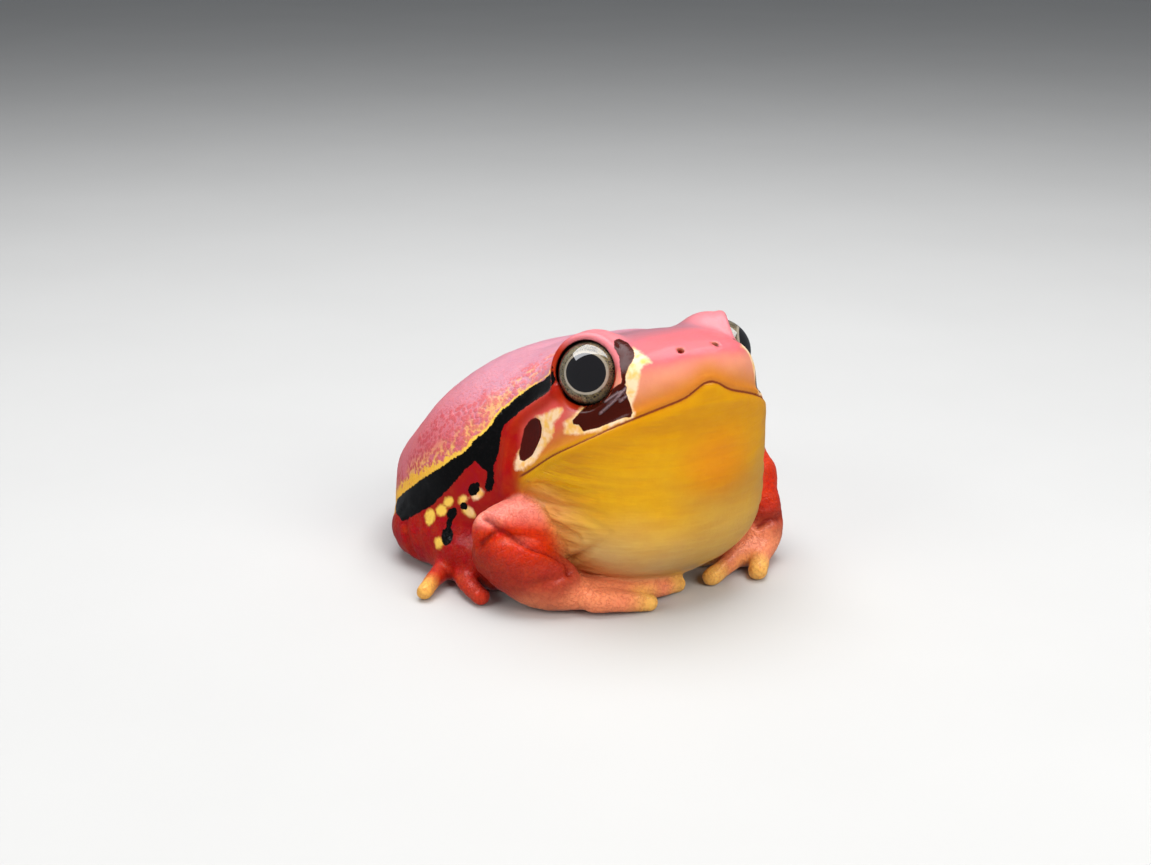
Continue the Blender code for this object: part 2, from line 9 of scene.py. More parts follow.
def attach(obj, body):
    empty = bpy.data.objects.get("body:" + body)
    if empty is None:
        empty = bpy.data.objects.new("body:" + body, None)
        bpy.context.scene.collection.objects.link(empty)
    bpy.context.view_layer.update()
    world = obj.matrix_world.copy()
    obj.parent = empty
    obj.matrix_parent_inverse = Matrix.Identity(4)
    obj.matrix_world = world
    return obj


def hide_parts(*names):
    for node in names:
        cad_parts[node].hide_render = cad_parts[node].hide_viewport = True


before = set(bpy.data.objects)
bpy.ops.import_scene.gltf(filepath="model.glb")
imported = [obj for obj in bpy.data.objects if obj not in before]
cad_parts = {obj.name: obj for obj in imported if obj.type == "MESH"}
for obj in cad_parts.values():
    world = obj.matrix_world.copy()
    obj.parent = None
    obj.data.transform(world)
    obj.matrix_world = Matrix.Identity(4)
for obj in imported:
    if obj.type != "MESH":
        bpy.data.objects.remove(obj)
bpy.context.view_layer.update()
print("frame loaded")

body = {
    "shiftY": 2.925,               # from the frog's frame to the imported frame
    "cell": 0.46,                  # size of a mesh cell over the body
    "headCell": 0.36,              # and over the head and the arms:
    "fineFront": -14.0,            # in front of this,
    "fineAbove": 24.0,             # above this
    "fineBelow": 14.0,             # and below this
    "low": (-36.0, -39.0, -1.2),
    "high": (36.0, 34.0, 43.5),
}

torso = {
    "y": (31.4, 30.6, 29.2, 26.5, 20.5, 12.5, 4.0, -5.0, -13.0, -19.0, -24.0, -26.5),
    "halfWidth": (1.0, 4.7, 8.4, 13.5, 19.6, 23.9, 25.9, 25.0, 21.0, 17.0, 12.5, 8.0),
    "top": (13.0, 13.8, 14.6, 15.7, 18.5, 25.0, 32.0, 34.8, 35.9, 33.0, 27.0, 22.0),
    "bottom": (11.5, 9.8, 7.8, 5.0, 2.2, 0.3, -0.5, -0.5, -0.5, 0.3, 1.6, 3.5),
    "wide": (11.2, 10.8, 10.3, 9.6, 8.9, 9.6, 12.0, 14.2, 15.0, 13.0, 9.0, 7.0),
}

throat = {
    "centre": (0.0, -18.7, 16.0),
    "half": (18.0, 18.1),
    "lean": 0.05,                  # forward per millimetre of height
    "rise": 18.5,                  # reach upward, cut off by the line of the mouth
    "drop": 14.2,
    "power": 2.4,
    "powerUp": 5.0,
    "powerDown": 2.35,
}

head = {
    "mouthY": (-37.2, -36.4, -35.5, -33.9, -31.5, -27.5, -22.3, -16.4, -9.0),
    "mouthZ": (33.4, 32.5, 31.6, 30.3, 28.7, 26.0, 22.7, 18.4, 15.0),
    "peak": 1.9,                   # low peak of the mouth line at the front middle
    "peakWidth": 2.8,
    "frontY": -37.0,
    "cornerY": -15.5,
    "cornerX": 18.6,
    "topY": (-36.8, -35.6, -33.5, -30.0, -25.0, -19.0, -12.0, -6.0),
    "topZ": (36.4, 38.4, 39.6, 40.2, 39.9, 38.5, 36.2, 32.6),
}

eye = {
    "centre": (-10.85, -23.4, 34.6),
    "axis": (-0.84, -0.48, 0.26),      # the way the lids face
    "gaze": (-0.71, -0.635, 0.27),      # the way the pupil faces
    "radius": 5.2,
    "lidRing": 5.18,
    "lidTube": 0.62,
    "lidOffset": 2.2,
    "browRadius": 5.9,
    "browBack": 1.0,
    "browUp": 0.5,
    "flare": 0.4,                  # how fast the opening between the lids widens outwards
    "room": 0.08,                  # between the eyeball and its socket
}

nostril = {"at": (-3.05, -33.9, 39.1), "way": (-0.35, -0.75, 0.45), "radius": 0.44, "depth": 2.0}

# Limb stations: x, y, z, radius, height as a share of the width
limbs = {
    "upperArmRight": ((-15.0, -20.4, 10.6, 4.5, 1.0), (-20.0, -17.9, 11.5, 4.2, 1.0),
                      (-23.7, -16.4, 10.9, 3.3, 1.0)),
    "forearmRight": ((-22.5, -16.8, 7.3, 4.5, 1.0), (-21.4, -20.8, 6.2, 4.8, 0.97),
                     (-18.4, -24.7, 4.2, 3.7, 0.9)),
    "palmRight": ((-19.6, -22.6, 3.2, 3.5, 0.82), (-15.6, -25.6, 2.5, 3.6, 0.64),
                  (-11.5, -27.5, 2.1, 3.3, 0.58)),
    "fingerRight1": ((-14.5, -29.5, 2.2, 1.7, 0.95), (-10.0, -31.6, 1.9, 1.5, 1.0),
                     (-6.9, -32.3, 1.3, 1.35, 0.97)),
    "fingerRight2": ((-11.0, -28.6, 2.1, 1.6, 1.0), (-4.0, -29.2, 1.9, 1.4, 1.0),
                     (1.0, -28.2, 1.2, 1.3, 0.97)),
    "fingerRight3": ((-12.0, -26.5, 2.1, 1.6, 1.0), (-6.5, -25.4, 1.9, 1.4, 1.0),
                     (-2.6, -23.8, 1.2, 1.3, 0.97)),
    "fingerRight4": ((-15.0, -24.0, 2.1, 1.6, 1.0), (-11.5, -21.8, 1.8, 1.4, 1.0),
                     (-9.0, -19.8, 1.2, 1.3, 0.97)),
    "upperArmLeft": ((17.0, -5.0, 18.6, 6.0, 1.0), (20.5, -12.0, 15.4, 5.7, 0.97),
                     (21.8, -18.0, 11.8, 4.5, 1.0)),
    "forearmLeft": ((21.6, -18.3, 10.6, 4.2, 1.0), (21.4, -21.3, 7.4, 3.5, 1.0),
                    (20.8, -23.0, 4.6, 2.9, 0.95)),
    "palmLeft": ((20.9, -22.6, 3.3, 2.9, 0.95), (18.6, -24.2, 2.6, 3.3, 0.75),
                 (16.2, -25.0, 2.2, 2.8, 0.7)),
    "fingerLeft1": ((19.6, -24.6, 2.7, 1.7, 0.95), (17.2, -27.6, 2.1, 1.5, 1.0),
                    (14.4, -30.5, 1.3, 1.45, 0.97)),
    "fingerLeft2": ((17.0, -24.4, 2.4, 1.5, 1.0), (11.4, -27.0, 1.9, 1.45, 1.0),
                    (7.0, -28.8, 1.3, 1.4, 0.95)),
    "fingerLeft3": ((16.0, -24.2, 2.1, 1.6, 1.0), (12.8, -22.9, 1.9, 1.4, 1.0),
                    (10.0, -21.3, 1.2, 1.3, 0.97)),
    "fingerLeft4": ((17.0, -23.2, 2.1, 1.6, 1.0), (14.0, -20.6, 1.8, 1.4, 1.0),
                    (11.8, -18.4, 1.2, 1.3, 0.97)),
    "thigh": ((-8.0, 19.0, 11.0, 6.2, 1.0), (-14.5, 12.0, 10.3, 6.6, 1.03),
              (-19.8, 3.0, 7.8, 6.0, 1.03),
              (-22.0, -4.5, 4.4, 4.9, 1.0), (-22.0, -9.8, 3.7, 4.0, 1.0)),
    "shank": ((-22.4, -0.5, 4.8, 4.8, 1.0), (-23.0, 5.5, 5.0, 5.2, 1.0), (-20.5, 11.5, 4.6, 4.0, 1.0),
              (-17.5, 16.5, 4.6, 3.7, 1.0), (-12.5, 22.0, 4.4, 3.2, 1.0)),
    "foot": ((-13.5, 20.5, 2.65, 2.6, 1.0), (-19.0, 8.0, 2.25, 3.2, 0.7),
             (-23.2, -5.4, 1.85, 3.2, 0.56)),
    "toe1": ((-21.0, -2.5, 2.0, 1.6, 1.0), (-17.6, -4.6, 1.8, 1.4, 1.0), (-15.0, -6.5, 1.3, 1.2, 1.0)),
    "toe2": ((-22.0, -5.0, 2.0, 1.7, 1.0), (-19.6, -8.5, 1.8, 1.5, 1.0), (-18.0, -11.5, 1.3, 1.2, 1.0)),
    "toe3": ((-23.3, -6.5, 2.0, 1.8, 1.0), (-22.4, -10.0, 1.8, 1.5, 1.0),
             (-21.8, -13.0, 1.3, 1.3, 0.96)),
    "toe4": ((-24.6, -8.5, 2.0, 1.7, 1.0), (-26.0, -13.0, 1.8, 1.5, 1.0),
             (-26.4, -17.0, 1.35, 1.38, 0.97)),
    "toe5": ((-26.0, -5.6, 2.0, 1.6, 1.0), (-29.4, -8.2, 1.8, 1.3, 1.0),
             (-32.4, -10.8, 1.3, 1.15, 1.0)),
}


# Curve through a few stations: cubic Hermite pieces whose slopes are the centred differences
def smoothCurve(t, at, values):
    at = np.asarray(at, float)
    values = np.asarray(values, float)
    if at[0] > at[-1]:
        at, values = at[::-1], values[::-1]
    slope = np.gradient(values, at, axis=0)
    t = np.clip(t, at[0], at[-1])
    i = np.clip(np.searchsorted(at, t) - 1, 0, len(at) - 2)
    h = at[i + 1] - at[i]
    u = (t - at[i]) / h
    if values.ndim == 2:
        u, h = u[:, None], h[:, None]
    return ((2 * u**3 - 3 * u**2 + 1) * values[i] + (u**3 - 2 * u**2 + u) * slope[i] * h
            + (3 * u**2 - 2 * u**3) * values[i + 1] + (u**3 - u**2) * slope[i + 1] * h)


# The same curve looked up from a fine table, quick for many points
def tableOf(at, values):
    fine = np.linspace(min(at), max(at), 600)
    found = smoothCurve(fine, at, values)
    return lambda t: np.interp(t, fine, found)


# 0 at start, 1 at end, smooth between: 3t^2 - 2t^3
def fade(value, start, end):
    t = np.clip((value - start) / (end - start), 0.0, 1.0)
    return t * t * (3.0 - 2.0 * t)


# Profiles along y
mouthCurve = tableOf(head["mouthY"], head["mouthZ"])
headTop = tableOf(head["topY"], head["topZ"])
torsoWidth = tableOf(torso["y"], torso["halfWidth"])
torsoTop = tableOf(torso["y"], torso["top"])
torsoBottom = tableOf(torso["y"], torso["bottom"])
torsoWide = tableOf(torso["y"], torso["wide"])


# Height of the line of the mouth over the point (x, y)
def mouthHeight(x, y):
    front = np.clip((-30.0 - y) / 6.0, 0.0, 1.0)
    return mouthCurve(y) + head["peak"] * front * np.exp(-(x / head["peakWidth"]) ** 2)


# Half width of the head at the lips: an ellipse from the front middle back to the corner of the mouth
def lipWidth(y):
    u = np.clip((head["cornerY"] - y) / (head["cornerY"] - head["frontY"]), 0.0, 1.0)
    return head["cornerX"] * np.sqrt(np.maximum(1.0 - u**2.2, 0.0))


# Distance to a section of two superellipse halves: along the ray from its middle, length minus length / norm
def sectionDistance(x, z, width, top, bottom, wide, powerUp, powerDown):
    rise = np.where(z > wide, top - wide, wide - bottom)
    power = np.where(z > wide, powerUp, powerDown)
    a = np.abs(x) / np.maximum(width, 0.05)
    b = np.abs(z - wide) / np.maximum(rise, 0.05)
    norm = np.maximum((a**power + b**power) ** (1.0 / power), 1e-6)
    length = np.sqrt(x**2 + (z - wide) ** 2)
    return np.maximum(length * (1.0 - 1.0 / norm), -np.minimum(width, rise))


# Distance beyond the ends of a form that runs along y, joined to the distance across it
def closeEnds(across, y, front, back):
    beyond = np.maximum(np.maximum(front - y, y - back), 0.0)
    return np.where(beyond > 0.0, np.sqrt(np.maximum(across, 0.0) ** 2 + beyond**2), across)


# Torso: sections along y, closed at both ends
def torsoForm(p):
    x, y, z = p.T
    across = sectionDistance(x, z, torsoWidth(y), torsoTop(y), torsoBottom(y), torsoWide(y), 2.25, 2.7)
    return closeEnds(across, y, torso["y"][-1], torso["y"][0])


# Throat: superellipsoid, distance along the ray from its middle, kept below the line of the mouth
def throatForm(p):
    q = p - throat["centre"]
    q[:, 1] += throat["lean"] * np.maximum(q[:, 2], 0.0)
    power = throat["power"]
    flat = np.abs(q[:, :2] / throat["half"]) ** power
    level = (flat[:, 0] + flat[:, 1]) ** (1.0 / power)
    tall = np.where(q[:, 2] > 0.0, q[:, 2] / throat["rise"], -q[:, 2] / throat["drop"])
    power = np.where(q[:, 2] > 0.0, throat["powerUp"], throat["powerDown"])
    norm = np.maximum((level**power + tall**power) ** (1.0 / power), 1e-6)
    length = np.linalg.norm(q, axis=1)
    return carve(length * (1.0 - 1.0 / norm), mouthHeight(p[:, 0], p[:, 1]) - 0.2 - p[:, 2], 0.8)


# Head: sections along y, met by an upright wall whose plan is the ellipse of the lips
def headForm(p):
    x, y, z = p.T
    wide = mouthCurve(y) - 0.6
    depth = 5.5 * (0.45 + 0.55 * np.clip((y + 36.8) / 8.0, 0.0, 1.0))
    width = lipWidth(y + 2.2 * fade(y, -29.0, -34.0))
    across = sectionDistance(x, z, width, headTop(y), wide - depth, wide, 2.5, 2.2)
    forward = np.maximum(head["cornerY"] - y, 0.0)
    norm = np.sqrt((x / (head["cornerX"] + 0.3)) ** 2 + (forward / (head["cornerY"] - head["frontY"])) ** 2.2)
    wall = np.hypot(x, forward) * (1.0 - 1.0 / np.maximum(norm, 1e-3))
    return closeEnds(carve(across, -wall, 3.0), y, -40.0, -6.0)


# Limb: capsules with changing radius along a smooth path, flattened by the last number of each station
def limbForm(p, stations, steps=4):
    stations = np.asarray(stations, float)
    at = np.arange(len(stations), dtype=float)
    path = smoothCurve(np.linspace(0.0, at[-1], steps * (len(stations) - 1) + 1), at, stations)
    near = np.full(len(p), farAway)
    for a, b in zip(path[:-1], path[1:]):
        line = b[:3] - a[:3]
        t = np.clip(((p - a[:3]) @ line) / (line @ line), 0.0, 1.0)
        away = p - (a[:3] + t[:, None] * line)
        radius, flat = (a[k] + t * (b[k] - a[k]) for k in (3, 4))
        away[:, 2] /= flat
        near = np.minimum(near, (np.linalg.norm(away, axis=1) - radius) * np.minimum(flat, 1.0))
    return near


farEnough = 5.0    # margin round a form's box
farAway = 9.0      # distance given to all points outside it


# Only the points near a form are worked out; the others count as far away
def nearby(form, p, low, high, margin=farEnough):
    inside = np.all((p > np.asarray(low) - margin) & (p < np.asarray(high) + margin), axis=1)
    found = np.full(len(p), farAway)
    if inside.any():
        found[inside] = form(p[inside])
    return found


# The limb's distance, worked out only near the box of its stations
def limbField(p, stations):
    s = np.asarray(stations, float)
    low, high = s[:, :3].min(axis=0), s[:, :3].max(axis=0)
    return nearby(lambda q: limbForm(q, stations), p, low, high, s[:, 3].max() + 4.0)


# Soft union of a and b, and a with b cut out: the smaller or larger distance, rounded over the width k
def join(a, b, k):
    h = np.clip(0.5 + 0.5 * (b - a) / k, 0.0, 1.0)
    return b + (a - b) * h - k * h * (1.0 - h)


def carve(a, b, k):
    return -join(-a, b, k)


# The same direction with length one
def unit(v):
    v = np.asarray(v, float)
    return v / np.linalg.norm(v)


# Stations of the right side, turned into the left side's
def mirrored(stations):
    return [(-s[0],) + tuple(s[1:]) for s in stations]


# Place or direction given for the right side (-1), moved to the left side (1)
def onSide(v, side):
    return np.asarray(v, float) * (-side, 1.0, 1.0)


# Widths over which forms melt into each other
joins = {
    "throat": 4.0, "head": 3.0, "brow": 1.6, "opening": 0.6, "lid": 0.7, "socket": 0.25, "nostril": 0.3,
    "elbow": 0.8, "wrist": 1.6, "arm": 1.3, "knee": 1.4, "ankle": 1.0, "leg": 2.8, "digit": 0.9, "floor": 0.4,
}


# Soft union of forms one after another, each followed by the name of its join
def grow(whole, *forms):
    for form, name in zip(forms[::2], forms[1::2]):
        whole = join(whole, form, joins[name])
    return whole


# Soft union of a palm or sole with its digits
def digitsField(p, found, digits):
    for digit in digits:
        found = grow(found, limbField(p, digit), "digit")
    return found


# Distance to each of the frog's forms, kept apart so that colours can follow them
def formsOf(p):
    found = {"torso": torsoForm(p)}
    found["throat"] = nearby(throatForm, p, (-19, -37, 0), (19, -2, 33))
    found["head"] = nearby(headForm, p, (-19, -38, 8), (19, -5, 42))
    for side, name in ((-1, "Right"), (1, "Left")):
        found["upperArm" + name] = limbField(p, limbs["upperArm" + name])
        found["forearm" + name] = limbField(p, limbs["forearm" + name])
        palm = limbField(p, limbs["palm" + name])
        fingers = [limbs["finger" + name + str(i)] for i in (1, 2, 3, 4)]
        found["hand" + name] = digitsField(p, palm, fingers)
        turn = mirrored if side > 0 else list
        found["thigh" + name] = limbField(p, turn(limbs["thigh"]))
        found["shank" + name] = limbField(p, turn(limbs["shank"]))
        sole = limbField(p, turn(limbs["foot"]))
        found["foot" + name] = digitsField(p, sole, [turn(limbs["toe" + str(i)]) for i in (1, 2, 3, 4, 5)])
    return found


# Height of each point along an axis, and its distance from the axis
def splitAlong(away, axis):
    along = away @ axis
    return along, np.linalg.norm(away - along[:, None] * axis, axis=1)


# The whole skin as one distance, negative inside: forms joined softly, eyes, nostrils and floor carved away
def skinField(p):
    f = formsOf(p)
    skull = f["head"]
    for side in (-1, 1):
        away, axis = p - onSide(eye["centre"], side), unit(onSide(eye["axis"], side))
        brow = np.linalg.norm(away + axis * eye["browBack"] - (0.0, 0.0, eye["browUp"]), axis=1)
        along, out = splitAlong(away, axis)
        along -= eye["lidOffset"]
        lid = np.hypot(out - eye["lidRing"], along) - eye["lidTube"]
        opening = out - eye["lidRing"] + eye["flare"] * (1.0 - np.maximum(along, 0.0))
        opening = np.maximum(opening, -along - 0.6)
        skull = carve(grow(skull, brow - eye["browRadius"], "brow"), opening, joins["opening"])
        skull = grow(skull, lid, "lid")
    whole = grow(f["torso"], f["throat"], "throat", skull, "head")
    for name in ("Right", "Left"):
        leg = grow(f["thigh" + name], f["shank" + name], "knee", f["foot" + name], "ankle")
        arm = grow(f["upperArm" + name], f["forearm" + name], "elbow", f["hand" + name], "wrist")
        whole = grow(whole, leg, "leg", arm, "arm")
    for side in (-1, 1):
        ball = np.linalg.norm(p - onSide(eye["centre"], side), axis=1) - eye["radius"] - eye["room"]
        along, out = splitAlong(p - onSide(nostril["at"], side), unit(onSide(nostril["way"], side)))
        pit = np.hypot(out, along * nostril["radius"] / nostril["depth"]) - nostril["radius"]
        whole = carve(carve(whole, ball, joins["socket"]), pit, joins["nostril"])
    return carve(whole, p[:, 2], joins["floor"])


# Grid lines closer together over the head
def gridLines(low, high, fine, coarse, isFine):
    lines = [low]
    while lines[-1] < high:
        lines.append(lines[-1] + (fine if isFine(lines[-1]) else coarse))
    return np.array(lines)


# Lower and upper ends of the grid edges along one axis; rest cuts the other two axes
def edgeEnds(axis, rest):
    return [tuple(end if k == axis else rest for k in range(3)) for end in (slice(None, -1), slice(1, None))]


# Surface of a distance field: one point in each cell that the surface crosses, at the mean of its edge
# crossings, and one quad round each grid edge whose ends lie on both sides
def surfaceOf(field, *lines):
    slabs = np.array_split(lines[0], 8)
    grids = (np.stack(np.meshgrid(slab, *lines[1:], indexing="ij"), axis=-1) for slab in slabs)
    value = np.concatenate([field(grid.reshape(-1, 3)).reshape(grid.shape[:3]) for grid in grids])
    inside = value < 0.0
    total = np.zeros([n - 1 for n in value.shape] + [3])
    count = np.zeros([n - 1 for n in value.shape])
    for axis in range(3):
        a, b = edgeEnds(axis, slice(None))
        cross = inside[a] != inside[b]
        t = np.where(cross, value[a] / np.where(cross, value[a] - value[b], 1.0), 0.0)
        place = np.stack(np.meshgrid(*[line[:n] for line, n in zip(lines, t.shape)], indexing="ij"), axis=-1)
        place[..., axis] += t * np.diff(lines[axis]).reshape([-1 if k == axis else 1 for k in range(3)])
        place *= cross[..., None]
        for corner in np.ndindex(2, 2):
            pick = [slice(d, n - 1 + d) for d, n in zip(np.insert(corner, axis, 0), cross.shape)]
            pick[axis] = slice(None)
            total += place[tuple(pick)]
            count += cross[tuple(pick)]
    used = count > 0
    index = np.full(used.shape, -1)
    index[used] = np.arange(used.sum())
    faces = []
    for axis in range(3):
        ia, ib = (inside[end] for end in edgeEnds(axis, slice(1, -1)))
        corners = []
        for turn in ((0, 0), (1, 0), (1, 1), (0, 1)):
            pick = [slice(None)] * 3
            for k, d in zip(((axis + 1) % 3, (axis + 2) % 3), turn):
                pick[k] = slice(d, used.shape[k] - 1 + d)
            corners.append(index[tuple(pick)])
        corners = np.stack(corners, axis=-1)
        faces += [corners[ia & ~ib], corners[~ia & ib][:, ::-1]]
    return total[used] / count[used][:, None], np.concatenate(faces)


# Slope of a field at each point, by small steps both ways
def slopeOf(field, p, step=0.05):
    slope = np.empty_like(p)
    for k in range(3):
        move = np.zeros(3)
        move[k] = step
        slope[:, k] = (field(p + move) - field(p - move)) / (2.0 * step)
    return slope


# Points are drawn onto the surface along the slope
def settle(field, p, rounds=2):
    for _ in range(rounds):
        slope = slopeOf(field, p)
        push = field(p)[:, None] * slope / np.maximum((slope**2).sum(axis=1), 0.15)[:, None]
        size = np.linalg.norm(push, axis=1)
        push *= np.minimum(1.0, 0.3 / np.maximum(size, 1e-9))[:, None]
        p = p - push
    return p


primes = np.array([374761393, 668265263, 2147483647])


# Smooth random numbers in space: eight hashed corners blended in each cell
def softNoise(p, size, seed=0):
    q = p / size + seed * 17.31
    cell = np.floor(q).astype(np.int64)
    u = q - cell
    u = u * u * (3.0 - 2.0 * u)
    found = np.zeros(len(p))
    for corner in np.ndindex(2, 2, 2):
        h = ((cell + corner) * primes).sum(axis=1)
        h = (h ^ (h >> 13)) * 1274126177
        h = ((h ^ (h >> 16)) & 0xFFFF) / 65535.0
        found += h * np.abs(1 - np.array(corner) - u).prod(axis=1)
    return found * 2.0 - 1.0


# Distance to a line on a smooth path through points
def lineDistance(p, points):
    return limbForm(p, [tuple(q) + (0.0, 1.0) for q in points])


# The photo's view, in degrees and metres, and its directions to the right, up and back to the camera
photoView = {
    "turn": -32.74,
    "tilt": 17.09,
    "distance": 0.300,
    "lens": 66.62,
    "target": (-0.01792, -0.026665, 0.02844),
}

viewTurn, viewTilt = math.radians(photoView["turn"]), math.radians(photoView["tilt"])
viewBack = np.array([math.sin(viewTurn), -math.cos(viewTurn), math.tan(viewTilt)]) * math.cos(viewTilt)
viewAlong = np.array([math.cos(viewTurn), math.sin(viewTurn), 0.0])
viewUp = np.cross(viewBack, viewAlong)

# Marks are drawn on a plane square to that view, and mirrored to the other side.
# Corners are (along, up) in millimetres on that plane
marks = {
    "stripe": (
        (-2.4, 26.6), (-2.8, 25.5), (-3.6, 24.7), (-4.9, 24.1), (-6.4, 23.2), (-7.8, 22.1),
        (-8.9, 21.1), (-10.1, 20.2), (-10.8, 19.3), (-11.6, 18.1), (-12.3, 17.2), (-13.5, 16.4),
        (-14.3, 15.7), (-14.9, 14.7), (-16.1, 13.8), (-17.3, 13.2), (-18.5, 12.4), (-19.7, 11.6),
        (-21.4, 10.6), (-23.1, 9.6), (-24.4, 8.6), (-25.8, 7.7), (-27.0, 6.6), (-27.4, 5.8),
        (-27.2, 4.8), (-25.7, 3.3), (-24.2, 4.1), (-22.4, 5.1), (-20.7, 6.1), (-19.1, 7.6),
        (-17.9, 8.8), (-16.5, 10.3), (-15.3, 11.7), (-14.1, 12.8), (-13.3, 12.1), (-12.4, 11.3),
        (-12.1, 10.9), (-12.2, 10.2), (-12.6, 8.8), (-12.2, 8.2), (-11.6, 8.3), (-11.1, 9.4),
        (-11.1, 10.8), (-11.2, 11.9), (-10.6, 13.4), (-10.2, 14.9), (-10.0, 16.4), (-9.8, 17.6),
        (-9.1, 18.5), (-7.7, 19.4), (-6.4, 20.5), (-4.9, 21.5), (-3.4, 22.3), (-2.4, 23.2),
        (-2.0, 24.7),
    ),
    # Black drops on the flank: along, up, half length, half width, lean in degrees
    "drops": ((-14.2, 8.6, 1.15, 0.8, 55), (-15.8, 6.0, 0.62, 0.6, 0), (-17.7, 4.8, 1.0, 0.75, 60),
              (-18.1, 3.2, 0.9, 0.45, 75), (-18.4, 1.4, 1.4, 0.9, 85)),
    "goldDrops": ((-18.2, 6.6, 0.9, 0.7, 45), (-19.3, 5.3, 0.9, 0.8, 60), (-21.2, 4.2, 1.25, 0.75, 75),
                  (-19.7, 0.3, 0.9, 0.7, 80), (-16.0, 6.9, 0.85, 0.6, 50), (-15.1, 5.2, 1.3, 0.7, -40),
                  (-13.7, 7.9, 1.1, 0.8, 55)),
    "brownFront": (
        (6.4, 30.1), (7.2, 30.5), (8.4, 29.9), (9.2, 28.7), (9.3, 27.9), (8.9, 27.0), (8.3, 26.0),
        (7.95, 25.0), (8.0, 24.1), (7.8, 23.6), (7.4, 24.1), (7.4, 25.0), (7.2, 26.4), (7.1, 27.9),
        (6.4, 29.0),
    ),
    "brownBelow": (
        (0.8, 19.1), (2.1, 20.5), (2.6, 21.3), (3.7, 21.8), (5.2, 22.6), (6.5, 23.5), (7.5, 24.0),
        (8.1, 23.5), (8.0, 22.7), (8.4, 21.6), (8.7, 20.7), (9.0, 19.7), (8.7, 19.1), (7.9, 19.1),
        (6.8, 18.7), (5.5, 18.2), (4.3, 17.7), (3.0, 17.4), (2.0, 17.2), (1.7, 17.7), (1.3, 18.1),
        (0.6, 18.2), (0.4, 18.7),
    ),
    "goldFront": (
        (9.2, 29.1), (9.6, 28.8), (10.4, 28.2), (11.5, 27.1), (11.7, 26.8), (10.5, 26.5), (10.1, 25.7),
        (9.9, 24.7), (9.7, 23.2), (9.3, 22.1), (8.9, 20.8), (9.0, 19.7), (8.3, 20.7), (7.5, 23.2),
        (7.5, 26.4), (8.4, 28.8),
    ),
    "goldBelow": (
        (2.3, 21.0), (1.7, 20.6), (0.8, 19.6), (-0.8, 18.4), (-0.6, 17.8), (-0.8, 16.9), (0.6, 16.7),
        (2.2, 16.8), (4.6, 17.3), (6.8, 18.3), (8.9, 18.9), (9.4, 19.6), (8.6, 20.4), (3.2, 19.2),
        (2.6, 20.7),
    ),
    "drum": (
        (-4.7, 19.2), (-4.2, 18.8), (-3.9, 17.7), (-4.1, 16.4), (-4.7, 15.0), (-5.4, 13.7), (-6.6, 12.8),
        (-7.3, 13.0), (-7.4, 13.8), (-7.2, 14.9), (-6.9, 16.4), (-6.6, 17.6), (-6.0, 18.5), (-5.3, 19.0),
    ),
    "goldDrum": (
        (-4.6, 19.4), (-3.6, 19.6), (-2.2, 20.4), (-1.1, 20.7), (-0.8, 20.1), (-1.3, 19.3), (-2.1, 18.4),
        (-2.1, 17.5), (-2.5, 16.3), (-3.0, 15.6), (-3.9, 14.4), (-5.1, 12.7), (-6.6, 11.6), (-8.0, 11.4),
        (-8.1, 12.6), (-7.7, 13.6), (-6.0, 17.1),
    ),
    # Upper edge of the granules, from the rump to the eye, closed over the back
    "granuleLine": ((-40.0, 2.0), (-31.0, 7.6), (-25.9, 11.2), (-24.4, 14.8), (-22.4, 17.4), (-20.6, 19.9),
                    (-17.4, 21.6), (-15.2, 22.4), (-12.2, 23.6), (-9.6, 24.9), (-6.3, 27.0), (-3.8, 28.7),
                    (0.0, 31.0), (10.0, 60.0), (-40.0, 60.0)),
    "lidFolds": (((4.4, 19.7, 0.0), (6.4, 21.5, 0.0), (8.0, 23.3, 0.0)),
                 ((5.1, 21.4, 0.0), (6.9, 22.6, 0.0)), ((7.2, 21.4, 0.0), (8.5, 22.5, 0.0))),
    # Edge of the back above the stripe, from the eye to the rump, closed over the back
    "backLine": ((0.0, 28.0), (-3.6, 25.2), (-7.8, 22.1), (-11.6, 18.1), (-14.9, 14.7), (-19.7, 11.6),
                 (-23.1, 9.6), (-27.0, 6.6), (-34.0, 1.0), (-40.0, 60.0), (30.0, 60.0), (30.0, 28.0)),
}

